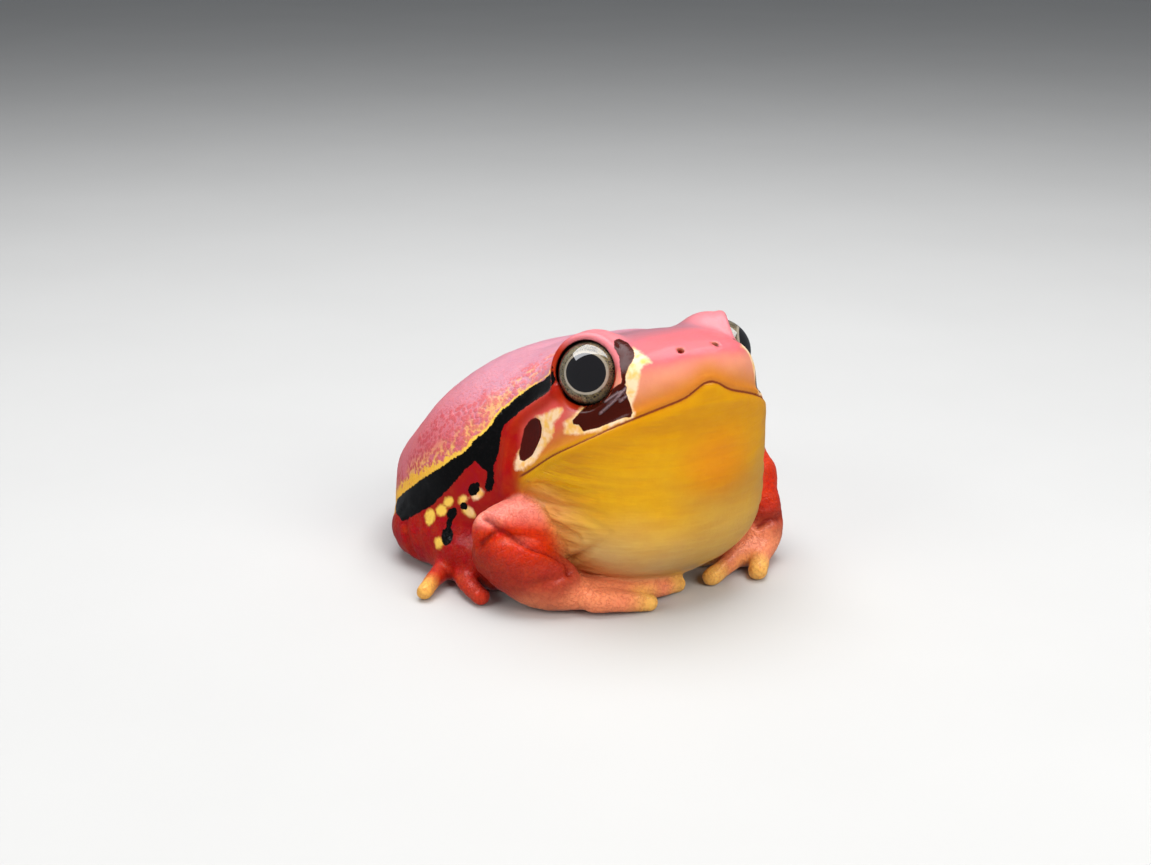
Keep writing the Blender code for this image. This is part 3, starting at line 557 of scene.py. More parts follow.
# Lines of folds and creases on the skin: x, y, z
folds = {
    "behindEye": ((-15.4, -21.6, 32.4), (-16.6, -19.6, 30.6), (-17.5, -16.2, 28.2), (-18.8, -14.3, 25.9),
                  (-19.7, -13.9, 23.6), (-20.2, -14.2, 21.0), (-20.5, -14.2, 18.3), (-21.1, -14.4, 16.0)),
    "drumValley": ((-18.4, -15.9, 26.6), (-19.2, -15.3, 24.4), (-19.8, -15.4, 21.8), (-20.1, -15.9, 19.4)),
    # Creases of the right elbow, low and high, and of the left one
    "deep": (((-25.7, -17.0, 13.4), (-25.4, -18.0, 13.3), (-25.1, -18.9, 12.7), (-24.7, -19.6, 12.0)),
             ((-26.7, -17.3, 9.5), (-26.3, -18.3, 10.5), (-25.6, -19.1, 11.4), (-24.7, -19.6, 12.1),
              (-23.9, -20.3, 11.7), (-23.2, -21.0, 11.2), (-22.4, -22.1, 10.6), (-21.6, -23.4, 10.1),
              (-20.4, -24.2, 9.5), (-19.0, -24.7, 8.8), (-17.7, -25.4, 7.8), (-17.2, -26.0, 7.1),
              (-17.4, -27.4, 6.3)),
             ((18.7, -24.7, 6.0), (20.4, -25.2, 6.8), (22.9, -24.8, 6.4))),
    "wrist": ((-22.9, -26.0, 5.1), (-22.3, -26.5, 5.5), (-21.2, -27.0, 5.9), (-19.8, -27.4, 6.1),
              (-18.1, -27.4, 6.5), (-16.9, -26.8, 6.6)),
    "lobe": ((-27.8, 3.5, 7.0), (-28.0, 2.3, 4.6), (-27.2, 1.7, 2.4)),
    # Soft folds of the throat beside the arm
    "throat": (
        ((-19.0, -18.2, 17.4), (-18.3, -20.1, 17.3), (-17.8, -23.1, 17.6), (-16.8, -27.0, 18.0),
         (-15.2, -30.3, 18.4)),
        ((-18.4, -20.3, 18.3), (-17.6, -24.4, 18.9), (-16.1, -28.8, 19.2), (-13.9, -32.0, 19.5)),
        ((-17.7, -23.4, 15.0), (-17.3, -25.4, 15.3), (-16.4, -27.9, 15.4), (-15.1, -30.2, 14.6),
         (-13.7, -31.8, 13.5)),
        ((-15.0, -24.1, 7.1), (-15.0, -27.1, 8.9), (-14.3, -30.4, 11.3), (-13.1, -32.3, 13.1)),
        ((-17.8, -23.6, 13.1), (-17.1, -25.1, 12.6), (-16.1, -27.4, 11.8)),
        ((-19.1, -18.4, 16.0), (-18.2, -20.7, 16.0), (-17.5, -24.3, 16.3), (-16.5, -27.9, 16.5),
         (-14.4, -31.3, 16.0)),
    ),
}


# Signed distance to a closed outline on a plane: nearest edge, negative inside
def outlineDistance(s, t, corners, reach=4.0):
    corners = np.asarray(corners, float)
    low, high = corners.min(axis=0) - reach, corners.max(axis=0) + reach
    close = (s > low[0]) & (s < high[0]) & (t > low[1]) & (t < high[1])
    found = np.full(len(s), reach)
    q = np.stack([s[close], t[close]], axis=1)
    best = np.full(len(q), 1e9)
    odd = np.zeros(len(q), bool)
    for a, b in zip(corners, np.roll(corners, -1, axis=0)):
        line = b - a
        h = np.clip(((q - a) @ line) / (line @ line), 0.0, 1.0)
        best = np.minimum(best, ((q - a - h[:, None] * line) ** 2).sum(axis=1))
        spans = (a[1] > q[:, 1]) != (b[1] > q[:, 1])
        with np.errstate(divide="ignore", invalid="ignore"):
            at = a[0] + (q[:, 1] - a[1]) / (b[1] - a[1]) * line[0]
        odd ^= spans & (q[:, 0] < at)
    found[close] = np.where(odd, -1.0, 1.0) * np.sqrt(best)
    return np.minimum(found, reach)


# Signed distance to leaning ovals on the same plane, the nearest of them
def dropDistance(s, t, drops, reach=4.0):
    found = np.full(len(s), reach)
    for along, up, length, width, lean in drops:
        c, q = math.cos(math.radians(lean)), math.sin(math.radians(lean))
        u, v = (s - along) * c + (t - up) * q, (t - up) * c - (s - along) * q
        norm = np.hypot(u / length, v / width)
        found = np.minimum(found, (norm - 1.0) * np.hypot(u, v) / np.maximum(norm, 0.2))
    return found


# Mirrored places on the mark plane and how far each point faces it
def markPlace(p, n):
    mirror = np.where(p[:, :1] > 0.0, (-1.0, 1.0, 1.0), 1.0)
    turned = p * mirror
    return turned, turned @ viewAlong, turned @ viewUp, (n * mirror) @ viewBack


relief = {
    "lumps": ((0.10, 5.0, 1), (0.05, 2.1, 2)),            # height, size and seed
    "limbLumps": ((0.08, 1.7, 3), (0.05, 0.9, 4)),
    # Height, half width and place across the line
    "behindEye": ((0.62, 1.0, 0.0),),
    "drumValley": ((-0.40, 0.75, 0.0),),
    "deep": ((-0.62, 0.5, 0.0), (0.22, 0.7, 1.3)),
    "soft": ((-0.40, 0.55, 0.0), (0.12, 0.7, 1.3)),
    "throat": ((-0.52, 0.5, 0.0), (0.18, 0.6, 1.1)),
    "drumRim": ((0.10, 0.35, 0.35),),
    "lips": ((-0.34, 0.30, 0.0), (0.14, 0.5, 0.8)),
    "nostrilRim": ((0.06, 0.35, 0.9),),
    "drumDepth": 0.28,
}


# Noise of a few sizes, each times its height
def lumps(p, name):
    return sum(height * softNoise(p, size, seed) for height, size, seed in relief[name])


# Ridges and grooves along a line: sum of height * exp(-((distance - place) / half width)^2)
def ridges(distance, name):
    return sum(height * np.exp(-((distance - at) / width) ** 2) for height, width, at in relief[name])


# Rise of the skin over its smooth form: lumps, folds, creases, lips, eardrum and nostril rims
def reliefOf(p, place, near):
    turned, s, t, facing = place
    onLimb = fade(near["trunk"] - near["limb"], -0.5, 1.5)
    rise = fade(near["eye"], 6.5, 9.5) * lumps(p, "lumps") + onLimb * lumps(p, "limbLumps")
    rise += ridges(near["behind"], "behindEye")
    rise += ridges(lineDistance(turned, folds["drumValley"]), "drumValley")
    soft = np.minimum(lineDistance(p, folds["wrist"]), lineDistance(turned, folds["lobe"]))
    rise += ridges(near["crease"], "deep") + ridges(soft, "soft")
    throatFolds = sum(ridges(lineDistance(turned, fold), "throat") for fold in folds["throat"])
    rise += fade(turned[:, 1], -34.0, -26.0) * throatFolds
    drum = np.where(facing > 0.1, outlineDistance(s, t, marks["drum"]), 4.0)
    rise += ridges(drum, "drumRim") - relief["drumDepth"] * fade(drum, 0.15, -0.5)
    lips = fade(p[:, 1], -16.0, -18.5) * fade(np.abs(near["mouth"]), 3.0, 2.0)
    rise += lips * ridges(near["mouth"], "lips") + ridges(near["nostril"], "nostrilRim")
    return rise * fade(p[:, 2], 0.05, 0.8)


# Linear colour from the red, green and blue seen on a screen
def fromScreen(colour):
    c = np.asarray(colour, float) / 255.0
    return np.where(c <= 0.04045, c / 12.92, ((c + 0.055) / 1.055) ** 2.4)


# Some of these tones stand for light: a painted sheen on the arms' tops, a painted pool of light and a
# painted shade on the throat
tones = {
    "crown": (168, 112, 122), "back": (204, 143, 158), "backSide": (216, 118, 126), "rump": (168, 22, 26),
    "flank": (160, 22, 18), "flankLow": (150, 20, 18), "belly": (226, 178, 104),
    "snout": (212, 108, 113), "cheek": (228, 150, 122), "lip": (206, 128, 56), "cheekPink": (222, 96, 88),
    "lid": (182, 58, 40), "lidTop": (214, 126, 132), "fold": (170, 42, 26),
    "throat": (214, 158, 46), "throatHigh": (208, 146, 22), "throatLow": (200, 166, 112),
    "throatGlow": (226, 142, 30), "throatShade": (188, 142, 66), "throatSide": (240, 170, 100),
    "arm": (200, 54, 32), "armLow": (156, 50, 38), "armTop": (232, 134, 118), "hand": (234, 142, 104),
    "tip": (240, 188, 100), "leg": (164, 30, 24), "foot": (196, 66, 50),
}


# Distance to the nearest of the forms whose names start with the given words
def closest(f, *words):
    return np.minimum.reduce([f[name] for name in f if name.startswith(words)])


# Tones laid one over another, each where its mask is 1; a tone is a name from the list or an array of colours
def layered(*tone):
    colours = [fromScreen(tones[part]) if isinstance(part, str) else part for part in tone]
    laid = colours[0]
    for over, mask in zip(colours[1::2], colours[2::2]):
        laid = laid + (over - laid) * mask[:, None]
    return laid


# Ground colour of the skin: tones of the forms near each point, blended by position, with painted light in
# it: a painted sheen on the arms' tops, a painted pool of light and a painted shade on the throat
def toneOf(p, n, f, near, upperSide):
    x, y, z = p.T
    spread = 0.6 * softNoise(p, 6.0, 11)
    zNear, yNear, rise = z + spread, y + spread, n[:, 2]

    back = layered("backSide", "back", fade(z + spread * 2.0, 20.0, 31.0),
                   "rump", fade(yNear, 13.0, 24.0) * fade(z, 22.0, 14.0))
    torsoTone = layered("flank", "flankLow", fade(zNear, 9.0, 3.0),
                        back, np.maximum(fade(upperSide, 0.6, -0.6), fade(z, 32.0, 36.0)),
                        "belly", fade(rise, -0.55, -0.85))

    sideways = fade(y + spread * 2.0 + 0.12 * (z - 12.0), -31.0, -22.0) * fade(z + spread * 2.0, 19.5, 14.5)
    # Painted pool of light: brighter orange round a point at the front middle of the throat
    glow = np.linalg.norm((p - (1.55, -37.1, 22.8)) * (0.8, 1.0, 1.0), axis=1)
    cloud = softNoise(p * (0.6, 0.6, 1.6), 9.0, 31)
    throatTone = layered("throat", "throatHigh", fade(zNear, 22.0, 30.0),
                         "throatLow", fade(z + spread * 3.0, 18.0, 6.0),
                         "throatSide", sideways,
                         # Painted shade: duller yellow on the far side of the throat, low down
                         "throatShade", 0.75 * fade(x, -9.0, 2.0) * fade(zNear, 24.0, 18.0),
                         "throatGlow", 0.8 * fade(glow, 7.5, 1.0))
    throatTone = throatTone * (1.0 + 0.16 * cloud[:, None] * np.array([0.6, 1.0, 1.0]))

    cheek = fade(rise, 0.75, 0.25)
    lid = layered("lid", "lidTop", fade(z - 35.0 - 0.3 * (y + 24.6), 1.5, 4.5))
    headTone = layered(back, "crown", fade(yNear, -10.0, -19.0), "snout", fade(yNear, -22.0, -31.0),
                       "cheek", cheek * fade(y, -22.0, -28.0), "cheekPink", cheek * fade(y, -27.0, -23.0),
                       "lip", fade(near["mouth"], 5.5, 0.8), "throatHigh", fade(near["mouth"], 0.1, -0.7),
                       lid, fade(near["eye"], 7.2, 6.3))

    # Painted sheen: upward-facing skin high on the arms is paler pink, fading out on the far arm
    armTop = fade(rise + spread * 0.4, 0.1, 0.8) * fade(z, 9.5, 13.0) * fade(x, 24.0, 14.0)
    armTone = layered("arm", "armTop", armTop, "armLow", fade(zNear, 11.0, 7.5))
    groups = ((f["torso"], torsoTone), (f["throat"], throatTone), (f["head"], headTone),
              (closest(f, "upperArm", "forearm") + 0.5, armTone), (closest(f, "hand"), layered("hand")),
              (closest(f, "thigh", "shank"), layered("leg")), (closest(f, "foot"), layered("foot")))
    nearest = np.minimum.reduce([away for away, _ in groups])
    weights = [np.exp((nearest - away) / 0.45)[:, None] for away, _ in groups]
    total = sum(weights)
    colour = sum(weight / total * formTone for weight, (_, formTone) in zip(weights, groups))

    ends = [limbs[name][-1] for name in limbs if "finger" in name or name == "toe5"]
    ends += mirrored(ends[-1:])
    fromTip = np.min([np.linalg.norm(p - end[:3], axis=1) for end in ends], axis=0)
    return layered(colour, "fold", 0.85 * fade(near["behind"], 1.8, 0.6) * fade(upperSide, -0.2, 0.4),
                   "tip", 0.9 * fade(fromTip, 4.6, 0.6))


# Skin: mesh of the whole distance, drawn onto its surface and raised by the relief along its slope. The
# finish reads the ground colour and the signed distances to the marks from its points
def addSkin():
    low, high, cell, headCell = body["low"], body["high"], body["cell"], body["headCell"]
    xs = gridLines(low[0], high[0], headCell, cell, lambda x: False)
    ys = gridLines(low[1], high[1], headCell, cell, lambda y: y < body["fineFront"])
    zs = gridLines(low[2], high[2], headCell, cell, lambda z: z > body["fineAbove"] or z < body["fineBelow"])
    p, faces = surfaceOf(skinField, xs, ys, zs)
    p = settle(skinField, p)
    n = slopeOf(skinField, p)
    n /= np.linalg.norm(n, axis=1)[:, None]
    f = formsOf(p)
    turned, s, t, facing = place = markPlace(p, n)
    near = {
        "limb": closest(f, "upperArm", "forearm", "hand", "thigh", "shank", "foot"),
        "trunk": closest(f, "torso", "throat", "head"),
        "crease": np.minimum.reduce([lineDistance(p, fold) for fold in folds["deep"]]),
        "behind": lineDistance(turned, folds["behindEye"]),
        "mouth": p[:, 2] - mouthHeight(p[:, 0], p[:, 1]),
        "eye": np.linalg.norm(turned - eye["centre"], axis=1),
        "nostril": np.linalg.norm(turned - nostril["at"], axis=1),
    }
    upperSide = outlineDistance(s, t, marks["backLine"], 8.0)
    tone = toneOf(p, n, f, near, upperSide)
    rise = reliefOf(p, place, near)

    # Marks stay on the side that faces their plane, off the arms, and on the far side below the brow
    hidden = (0.06 - facing) * 20.0
    offTrunk = (near["trunk"] - closest(f, "upperArm", "forearm", "hand") + 0.2) * 2.0
    overBrow = np.where(p[:, 0] > 0.0, p[:, 2] - 38.1, -4.0)
    onTrunk = fade(near["trunk"] - near["limb"], 0.4, -0.3)
    onThroat = fade(f["throat"] - f["torso"], 0.5, -0.5)
    aboveStripe = fade(upperSide, 0.3, -0.2) * fade(f["torso"] - f["head"], 3.0, -1.0)
    belowLine = outlineDistance(s, t, marks["granuleLine"], 8.0)
    y = turned[:, 1]

    def mark(*names):
        return np.minimum.reduce([outlineDistance(s, t, marks[name]) for name in names])

    def atMost(*parts):
        return np.maximum.reduce(parts)

    lidFolds = [lineDistance(np.stack([s, t, 0.0 * s], axis=1), fold) for fold in marks["lidFolds"]]
    gold = np.minimum(mark("goldFront", "goldBelow", "goldDrum"), dropDistance(s, t, marks["goldDrops"]))
    values = {
        "black": atMost(np.minimum(mark("stripe"), dropDistance(s, t, marks["drops"])), hidden, offTrunk),
        "brown": atMost(mark("brownFront", "brownBelow"), hidden, overBrow),
        "drum": atMost(mark("drum"), hidden),
        "gold": atMost(gold, hidden, offTrunk, overBrow),
        "stripeRim": atMost(mark("stripe"), hidden + 1.0, upperSide, 7.3 - near["eye"]),
        "lidFold": np.minimum.reduce(lidFolds) + np.maximum(hidden, 0.0),
        "nostril": near["nostril"],
        "smooth": np.maximum(onThroat, fade(f["head"] - f["torso"], 0.5, -0.5)),
        "rear": fade(y, -14.0, 6.0),
        "speckle": aboveStripe * fade(belowLine + softNoise(p, 2.4, 21), -0.6, 1.8) * fade(y, -17.5, -13.5)
                   * fade(turned[:, 0], -6.0, -10.5) * fade(facing, 0.02, 0.2),
        "dots": aboveStripe * fade(y, -20.0, -12.0) * fade(n[:, 2], 1.02, 0.80),
        "grain": np.clip(1.0 - 0.95 * onTrunk + 0.25 * aboveStripe, 0.0, 1.0) * fade(near["eye"], 5.6, 7.5),
        "mouthLine": near["mouth"],
        "mouthZone": fade(p[:, 1], -16.4, -17.2),
        "crease": near["crease"],
        "wrinkle": onThroat * onTrunk * fade(near["mouth"], -0.5, -2.0)
                   * (0.25 + 0.75 * fade(y, -32.0, -24.0)),
        "socket": near["eye"] - eye["radius"],
    }
    p = p + rise[:, None] * n
    p[:, 2] = np.maximum(p[:, 2], 0.0)
    mesh = bpy.data.meshes.new("frog_skin")
    mesh.from_pydata(((p + (0.0, body["shiftY"], 0.0)) * 0.001).tolist(), [], faces.tolist())
    mesh.polygons.foreach_set("use_smooth", np.ones(len(faces), bool))
    paint = mesh.attributes.new("tone", "FLOAT_COLOR", "POINT")
    paint.data.foreach_set("color", np.c_[tone, np.ones(len(tone))].astype(np.float32).ravel())
    return keep(mesh, values)


# Puts numbers on a mesh's points as named attributes, and the mesh into the scene
def keep(mesh, values):
    for name, value in values.items():
        mesh.attributes.new(name, "FLOAT", "POINT").data.foreach_set("value", value.astype(np.float32))
    mesh.update()
    piece = bpy.data.objects.new(mesh.name, mesh)
    bpy.context.collection.objects.link(piece)
    return piece


eyeball = {
    "radius": 5.14,
    "bulge": 0.22,                 # how far the cornea stands out
    "pupilAlong": 2.95,
    "pupilUp": 2.8,
    "ring": 0.34,
    "iris": 4.35,
    "around": 96,
    "down": 72,
}


# Eyeball: a ball turned about its axis whose front swells by bulge * exp(-(angle / 0.75)^2); v runs from the
# front pole to the back one, u round the axis
def addEyeball(name, side):
    centre, axis = onSide(eye["centre"], side), unit(onSide(eye["gaze"], side))
    across = unit(np.cross((0.0, 0.0, 1.0), axis))
    radius, bulge, count, rows = eyeball["radius"], eyeball["bulge"], eyeball["around"], eyeball["down"] - 1
    u = np.linspace(0.0, 2.0 * np.pi, count, endpoint=False)
    v = np.linspace(0.0, np.pi, rows + 2)[1:-1]
    v, u = np.meshgrid(v, u, indexing="ij")
    swollen = radius + bulge * np.exp(-(v / 0.75) ** 2)
    local = np.stack([np.sin(v) * np.cos(u), np.sin(v) * np.sin(u), np.cos(v)], axis=-1) * swollen[..., None]
    local = np.concatenate([[(0.0, 0.0, radius + bulge)], local.reshape(-1, 3), [(0.0, 0.0, -radius)]])
    place = centre + local @ np.array([across, np.cross(axis, across), axis]) + (0.0, body["shiftY"], 0.0)
    ring = 1 + np.arange(rows * count).reshape(rows, count)
    after = np.roll(ring, -1, axis=1)
    quads = np.stack([ring[:-1], ring[1:], after[1:], after[:-1]], axis=-1).reshape(-1, 4)
    front = np.stack([0 * ring[0], ring[0], after[0]], axis=-1)
    rear = np.stack([0 * ring[-1] + len(place) - 1, after[-1], ring[-1]], axis=-1)
    mesh = bpy.data.meshes.new(name)
    mesh.from_pydata((place * 0.001).tolist(), [], quads.tolist() + front.tolist() + rear.tolist())
    mesh.polygons.foreach_set("use_smooth", np.ones(len(mesh.polygons), bool))
    return keep(mesh, dict(zip(("along", "upward", "outward"), local.T)))


# Feeds a node's sockets with numbers, colours or wires
def feed(node, inputs):
    for name, value in inputs.items():
        if isinstance(value, Wire):
            value.tree.links.new(value.socket, node.inputs[name])
        else:
            node.inputs[name].default_value = value


# One maths node as a method: the wire comes first, then what it is worked out with
def mathsOf(operation):
    return lambda wire, *others: wire.make("ShaderNodeMath", {"operation": operation},
                                           dict(enumerate((wire,) + others)))


# A socket that takes part in sums, so that shader maths reads as maths
class Wire:
    def __init__(self, tree, socket=None):
        self.tree, self.socket = tree, socket

    # Adds any node: its settings, then what feeds its sockets
    def make(self, kind, settings=None, inputs=None, output=0):
        node = self.tree.nodes.new(kind)
        for name, value in (settings or {}).items():
            setattr(node, name, value)
        feed(node, inputs or {})
        return Wire(self.tree, node.outputs[output])

    __add__ = __radd__ = mathsOf("ADD")
    __mul__ = __rmul__ = mathsOf("MULTIPLY")
    __sub__, __truediv__, __pow__ = mathsOf("SUBTRACT"), mathsOf("DIVIDE"), mathsOf("POWER")
    most, least, size, angle = mathsOf("MAXIMUM"), mathsOf("MINIMUM"), mathsOf("ABSOLUTE"), mathsOf("ARCTAN2")

    def __rsub__(self, other):
        return self * -1.0 + other

    # 0 at start, 1 at end, smooth between
    def ramp(self, start, end):
        return self.make("ShaderNodeMapRange", {"interpolation_type": "SMOOTHSTEP"},
                         {"Value": self, "From Min": start, "From Max": end})

    # This wire is the mask: colour a where it is 0, b where it is 1
    def choose(self, a, b):
        return self.make("ShaderNodeMix", {"data_type": "RGBA"}, {0: self, 6: a, 7: b}, 2)

    def noise(self, place, scale, detail=2.0, rough=0.5):
        return self.make("ShaderNodeTexNoise", None,
                         {"Vector": place, "Scale": scale, "Detail": detail, "Roughness": rough})

    def cells(self, place, scale, feature="F1"):
        return self.make("ShaderNodeTexVoronoi", {"feature": feature}, {"Vector": place, "Scale": scale})

    # A named number on the points of the mesh, or with output 0 a named colour
    def kept(self, name, output=2):
        return self.make("ShaderNodeAttribute", {"attribute_name": name}, None, output)

    # Place on the piece, in metres
    def place(self):
        return self.make("ShaderNodeTexCoord", output=3)


# Shader colours for all the tones of a look
def coloursOf(look):
    found = {name: fromScreen(tone).tolist() for name, tone in look.items() if isinstance(tone, tuple)}
    return {name: tuple(tone) + (1.0,) for name, tone in found.items()}


# New material, a wire for its node tree and its main shader
def newFinish(name):
    material = bpy.data.materials.new(name)
    material.use_nodes = True
    return material, Wire(material.node_tree), material.node_tree.nodes["Principled BSDF"]


# Some of these tones are painted light: shade in the wrinkles, creases and nostril pit and round the eyeball,
# and highlights on the lid folds
skinLook = {
    "black": (4, 4, 4), "blackSheen": (16, 14, 15), "brown": (66, 15, 5), "drum": (72, 18, 12),
    "gold": (246, 190, 92), "goldPale": (252, 216, 176), "rim": (250, 206, 84), "rimRear": (246, 184, 52),
    "granule": (216, 104, 106), "granuleRear": (196, 66, 76), "speck": (246, 196, 96), "mouth": (122, 42, 24),
    "creasePaintedShade": (128, 18, 14), "socket": (18, 8, 8), "fineCreasePaintedShade": (168, 34, 34), "pit": (70, 16, 18),
    "wrinklePaintedShade": (176, 96, 20), "lidFoldPaintedHighlight": (204, 170, 176),
    "roughness": 0.42, "coat": 0.16, "coatRoughness": 0.13, "specular": 0.20,
    "scatter": 0.12, "scatterReach": 0.0012,
}


# Moist skin: over the ground tone lie painted shade in the throat wrinkles and fine creases, granules, gold,
# mouth, painted shade in the elbow creases, the nostril and round the eyeball, marks, and painted highlights
# on the lid folds, in turn
def skinFinish():
    material, wire, shader = newFinish("moist_frog_skin")
    look, place = coloursOf(skinLook), wire.place()
    speckle, rear, grain, wrinkle = [wire.kept(name) for name in ("speckle", "rear", "grain", "wrinkle")]

    wobble = (wire.noise(place, 1500.0) - 0.5) * 0.55
    fine = (wire.noise(place, 4200.0) - 0.5) * 0.3
    granules = wire.cells(place, 1420.0).ramp(0.72, 0.34)
    patches = wire.noise(place, 520.0, 3.0, 0.6)
    shade = wire.noise(place, 520.0, 4.0, 0.6) - 0.5
    stretched = wire.make("ShaderNodeMapping", None,
                          {"Vector": place, "Rotation": (0.0, 0.10, 0.0), "Scale": (0.14, 0.14, 1.0)})
    wrinkles = wire.noise(stretched, 760.0, 3.0, 0.55)
    creases = (wire.noise(place, 1100.0, 3.0, 0.6) - 0.5).size().ramp(0.045, 0.0) * grain
    dots = wire.cells(place, 2300.0).ramp(0.55, 0.20) * wire.kept("dots")

    goldNet = (patches + speckle * 0.22 + rear * 0.06 + fine * 0.25).ramp(0.68, 0.76) * speckle
    goldNet = goldNet * wire.kept("stripeRim").ramp(4.0, 1.0)
    granuleMask = granules * (speckle + (wire.noise(place, 1700.0, 1.0) - 0.5) * 0.7).ramp(0.15, 0.55)
    gold = (wire.kept("gold") + wobble + (patches - 0.5) * rear * 1.6).ramp(0.28, -0.34)
    goldTone = wire.noise(place, 700.0).ramp(0.30, 0.62).choose(look["gold"], look["goldPale"])
    ragged = wobble * (0.8 + 2.0 * rear) + (wire.noise(place, 800.0) - 0.5) * rear * 3.0
    rim = (wire.kept("stripeRim") - (0.22 + rear * 1.05) + ragged).ramp(0.14, -0.14)
    line = (wire.kept("mouthLine").size() + fine * 0.5).ramp(0.34, 0.06) * wire.kept("mouthZone")
    drum = (wire.kept("drum") + wobble * 0.4).ramp(0.08, -0.08)
    brown = (wire.kept("brown") + wobble * 0.5).ramp(0.08, -0.08)
    black = (wire.kept("black") + wobble + fine).ramp(0.07, -0.07)
    blackTone = wire.noise(place, 2600.0).ramp(0.45, 0.75).choose(look["black"], look["blackSheen"])
    lidFold = wire.kept("lidFold").ramp(0.34, 0.0) * brown

    uneven = shade * (1.0 - wire.kept("smooth") * 0.6)
    colour = wire.make("ShaderNodeHueSaturation", None, {
        "Hue": uneven * 0.030 + 0.5, "Value": uneven * 0.30 + 1.0, "Saturation": 1.04,
        "Color": wire.kept("tone", 0)})
    for mask, tone in (
        # Painted shade lies in the grooves of the throat wrinkles
        (wrinkles.ramp(0.60, 0.38) * wrinkle * 0.50, look["wrinklePaintedShade"]),
        # Painted shade darkens the fine creases of the skin
        (creases * 0.22, look["fineCreasePaintedShade"]),
        (goldNet * (0.60 + 0.4 * rear), look["speck"]),
        (granuleMask * (0.70 + 0.2 * rear), rear.choose(look["granule"], look["granuleRear"])),
        (dots * 0.38, look["granule"]),
        (gold, rear.ramp(0.05, 0.3).choose(goldTone, look["rim"])),
        (rim, rear.choose(look["rim"], look["rimRear"])),
        (line * 0.9, look["mouth"]),
        # Painted shade darkens the deep elbow creases
        (wire.kept("crease").ramp(0.60, 0.0) * 0.75, look["creasePaintedShade"]),
        # Painted shade inside the nostril pit
        (wire.kept("nostril").ramp(0.75, 0.35), look["pit"]),
        (drum, look["drum"]),
        (brown, look["brown"]),
        (black, blackTone),
        # Painted highlight: pale lines along the folds below the eye
        (lidFold * 0.6, look["lidFoldPaintedHighlight"]),
        # Painted shade: a dark ring on the skin where it meets the eyeball
        (wire.kept("socket").ramp(0.42, 0.16), look["socket"]),
    ):
        colour = mask.choose(colour, tone)

    dark = drum.most(brown).most(black)
    height = (granules * (speckle + grain) * 0.05 + dots * 0.03 - creases * 0.055
              + wire.noise(place, 1300.0, 3.0, 0.6) * 0.05 + wire.noise(place, 3600.0) * grain * 0.05
              + wrinkles * wrinkle * 0.85 + gold * 0.02 + dark * 0.03 + lidFold * 0.7)
    feed(shader, {
        "Base Color": colour,
        "Roughness": skinLook["roughness"] + shade * 0.16 + grain * 0.06 - dark * 0.27,
        "Coat Weight": skinLook["coat"] * (1.0 - dark * 0.7) + lidFold * 0.8,
        "Coat Roughness": skinLook["coatRoughness"],
        "Specular IOR Level": skinLook["specular"],
        "Normal": wire.make("ShaderNodeBump", None, {"Strength": 1.0, "Distance": 0.001, "Height": height}),
        "Subsurface Weight": skinLook["scatter"],
        "Subsurface Radius": (1.0, 0.35, 0.2),
        "Subsurface Scale": skinLook["scatterReach"],
    })
    return material


eyeLook = {
    "pupil": (6, 3, 6), "ring": (178, 168, 152), "iris": (112, 106, 92), "irisDark": (44, 38, 34),
    "fleck": (150, 132, 88), "edge": (16, 12, 12), "back": (30, 12, 12),
    "coatRoughness": 0.03, "coatIndex": 1.9,
}


# Wet eye: iris with a net of veins and flecks, dark edge, pale ring and an oval pupil
def eyeFinish():
    material, wire, shader = newFinish("frog_eye")
    look, place = coloursOf(eyeLook), wire.place()
    along, upward, outward = [wire.kept(name) for name in ("along", "upward", "outward")]
    wobble = (wire.noise(place, 2200.0) - 0.5) * 0.16
    oval = ((along / eyeball["pupilAlong"]) ** 2.0 + (upward / eyeball["pupilUp"]) ** 2.0) ** 0.5
    fromPupil = (oval - 1.0) * eyeball["pupilUp"]
    fromMiddle = (along ** 2.0 + upward ** 2.0) ** 0.5
    rays = wire.make("ShaderNodeCombineXYZ", None, {0: upward.angle(along) * 3.2, 1: fromMiddle * 0.8})
    net = wire.cells(rays, 3.2, "DISTANCE_TO_EDGE").ramp(0.16, 0.02)
    cloud = wire.noise(place, 900.0, 4.0, 0.65)
    iris = cloud.ramp(0.35, 0.68).choose(look["irisDark"], look["iris"])
    flecks = net * 0.55 + wire.noise(place, 5200.0).ramp(0.58, 0.72) * 0.5
    iris = flecks.least(1.0).choose(iris, look["fleck"])
    edge = (fromMiddle + wobble).ramp(eyeball["iris"] - 0.5, eyeball["iris"] + 0.25)
    iris = edge.choose(iris, look["edge"])
    ring = (fromPupil + wobble * 0.5).ramp(eyeball["ring"] + 0.08, eyeball["ring"] - 0.10)
    colour = (ring * (0.55 + 0.45 * upward.ramp(1.5, -1.5))).choose(iris, look["ring"])
    pupil = (fromPupil + wobble * 0.3).ramp(0.05, -0.05)
    colour = pupil.choose(colour, look["pupil"])
    feed(shader, {
        "Base Color": outward.ramp(1.6, 0.6).choose(colour, look["back"]),
        "Roughness": 0.42 - pupil * 0.2,
        "Coat Weight": 1.0, "Coat Roughness": eyeLook["coatRoughness"], "Coat IOR": eyeLook["coatIndex"],
        "Specular IOR Level": 0.0,
    })
    return material


# Gives a piece its finish and its body, and hides the solids it stands for
def dress(piece, finish, slot, *nodes):
    piece.data.materials.append(finish)
    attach(piece, "root")
    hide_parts(*nodes)


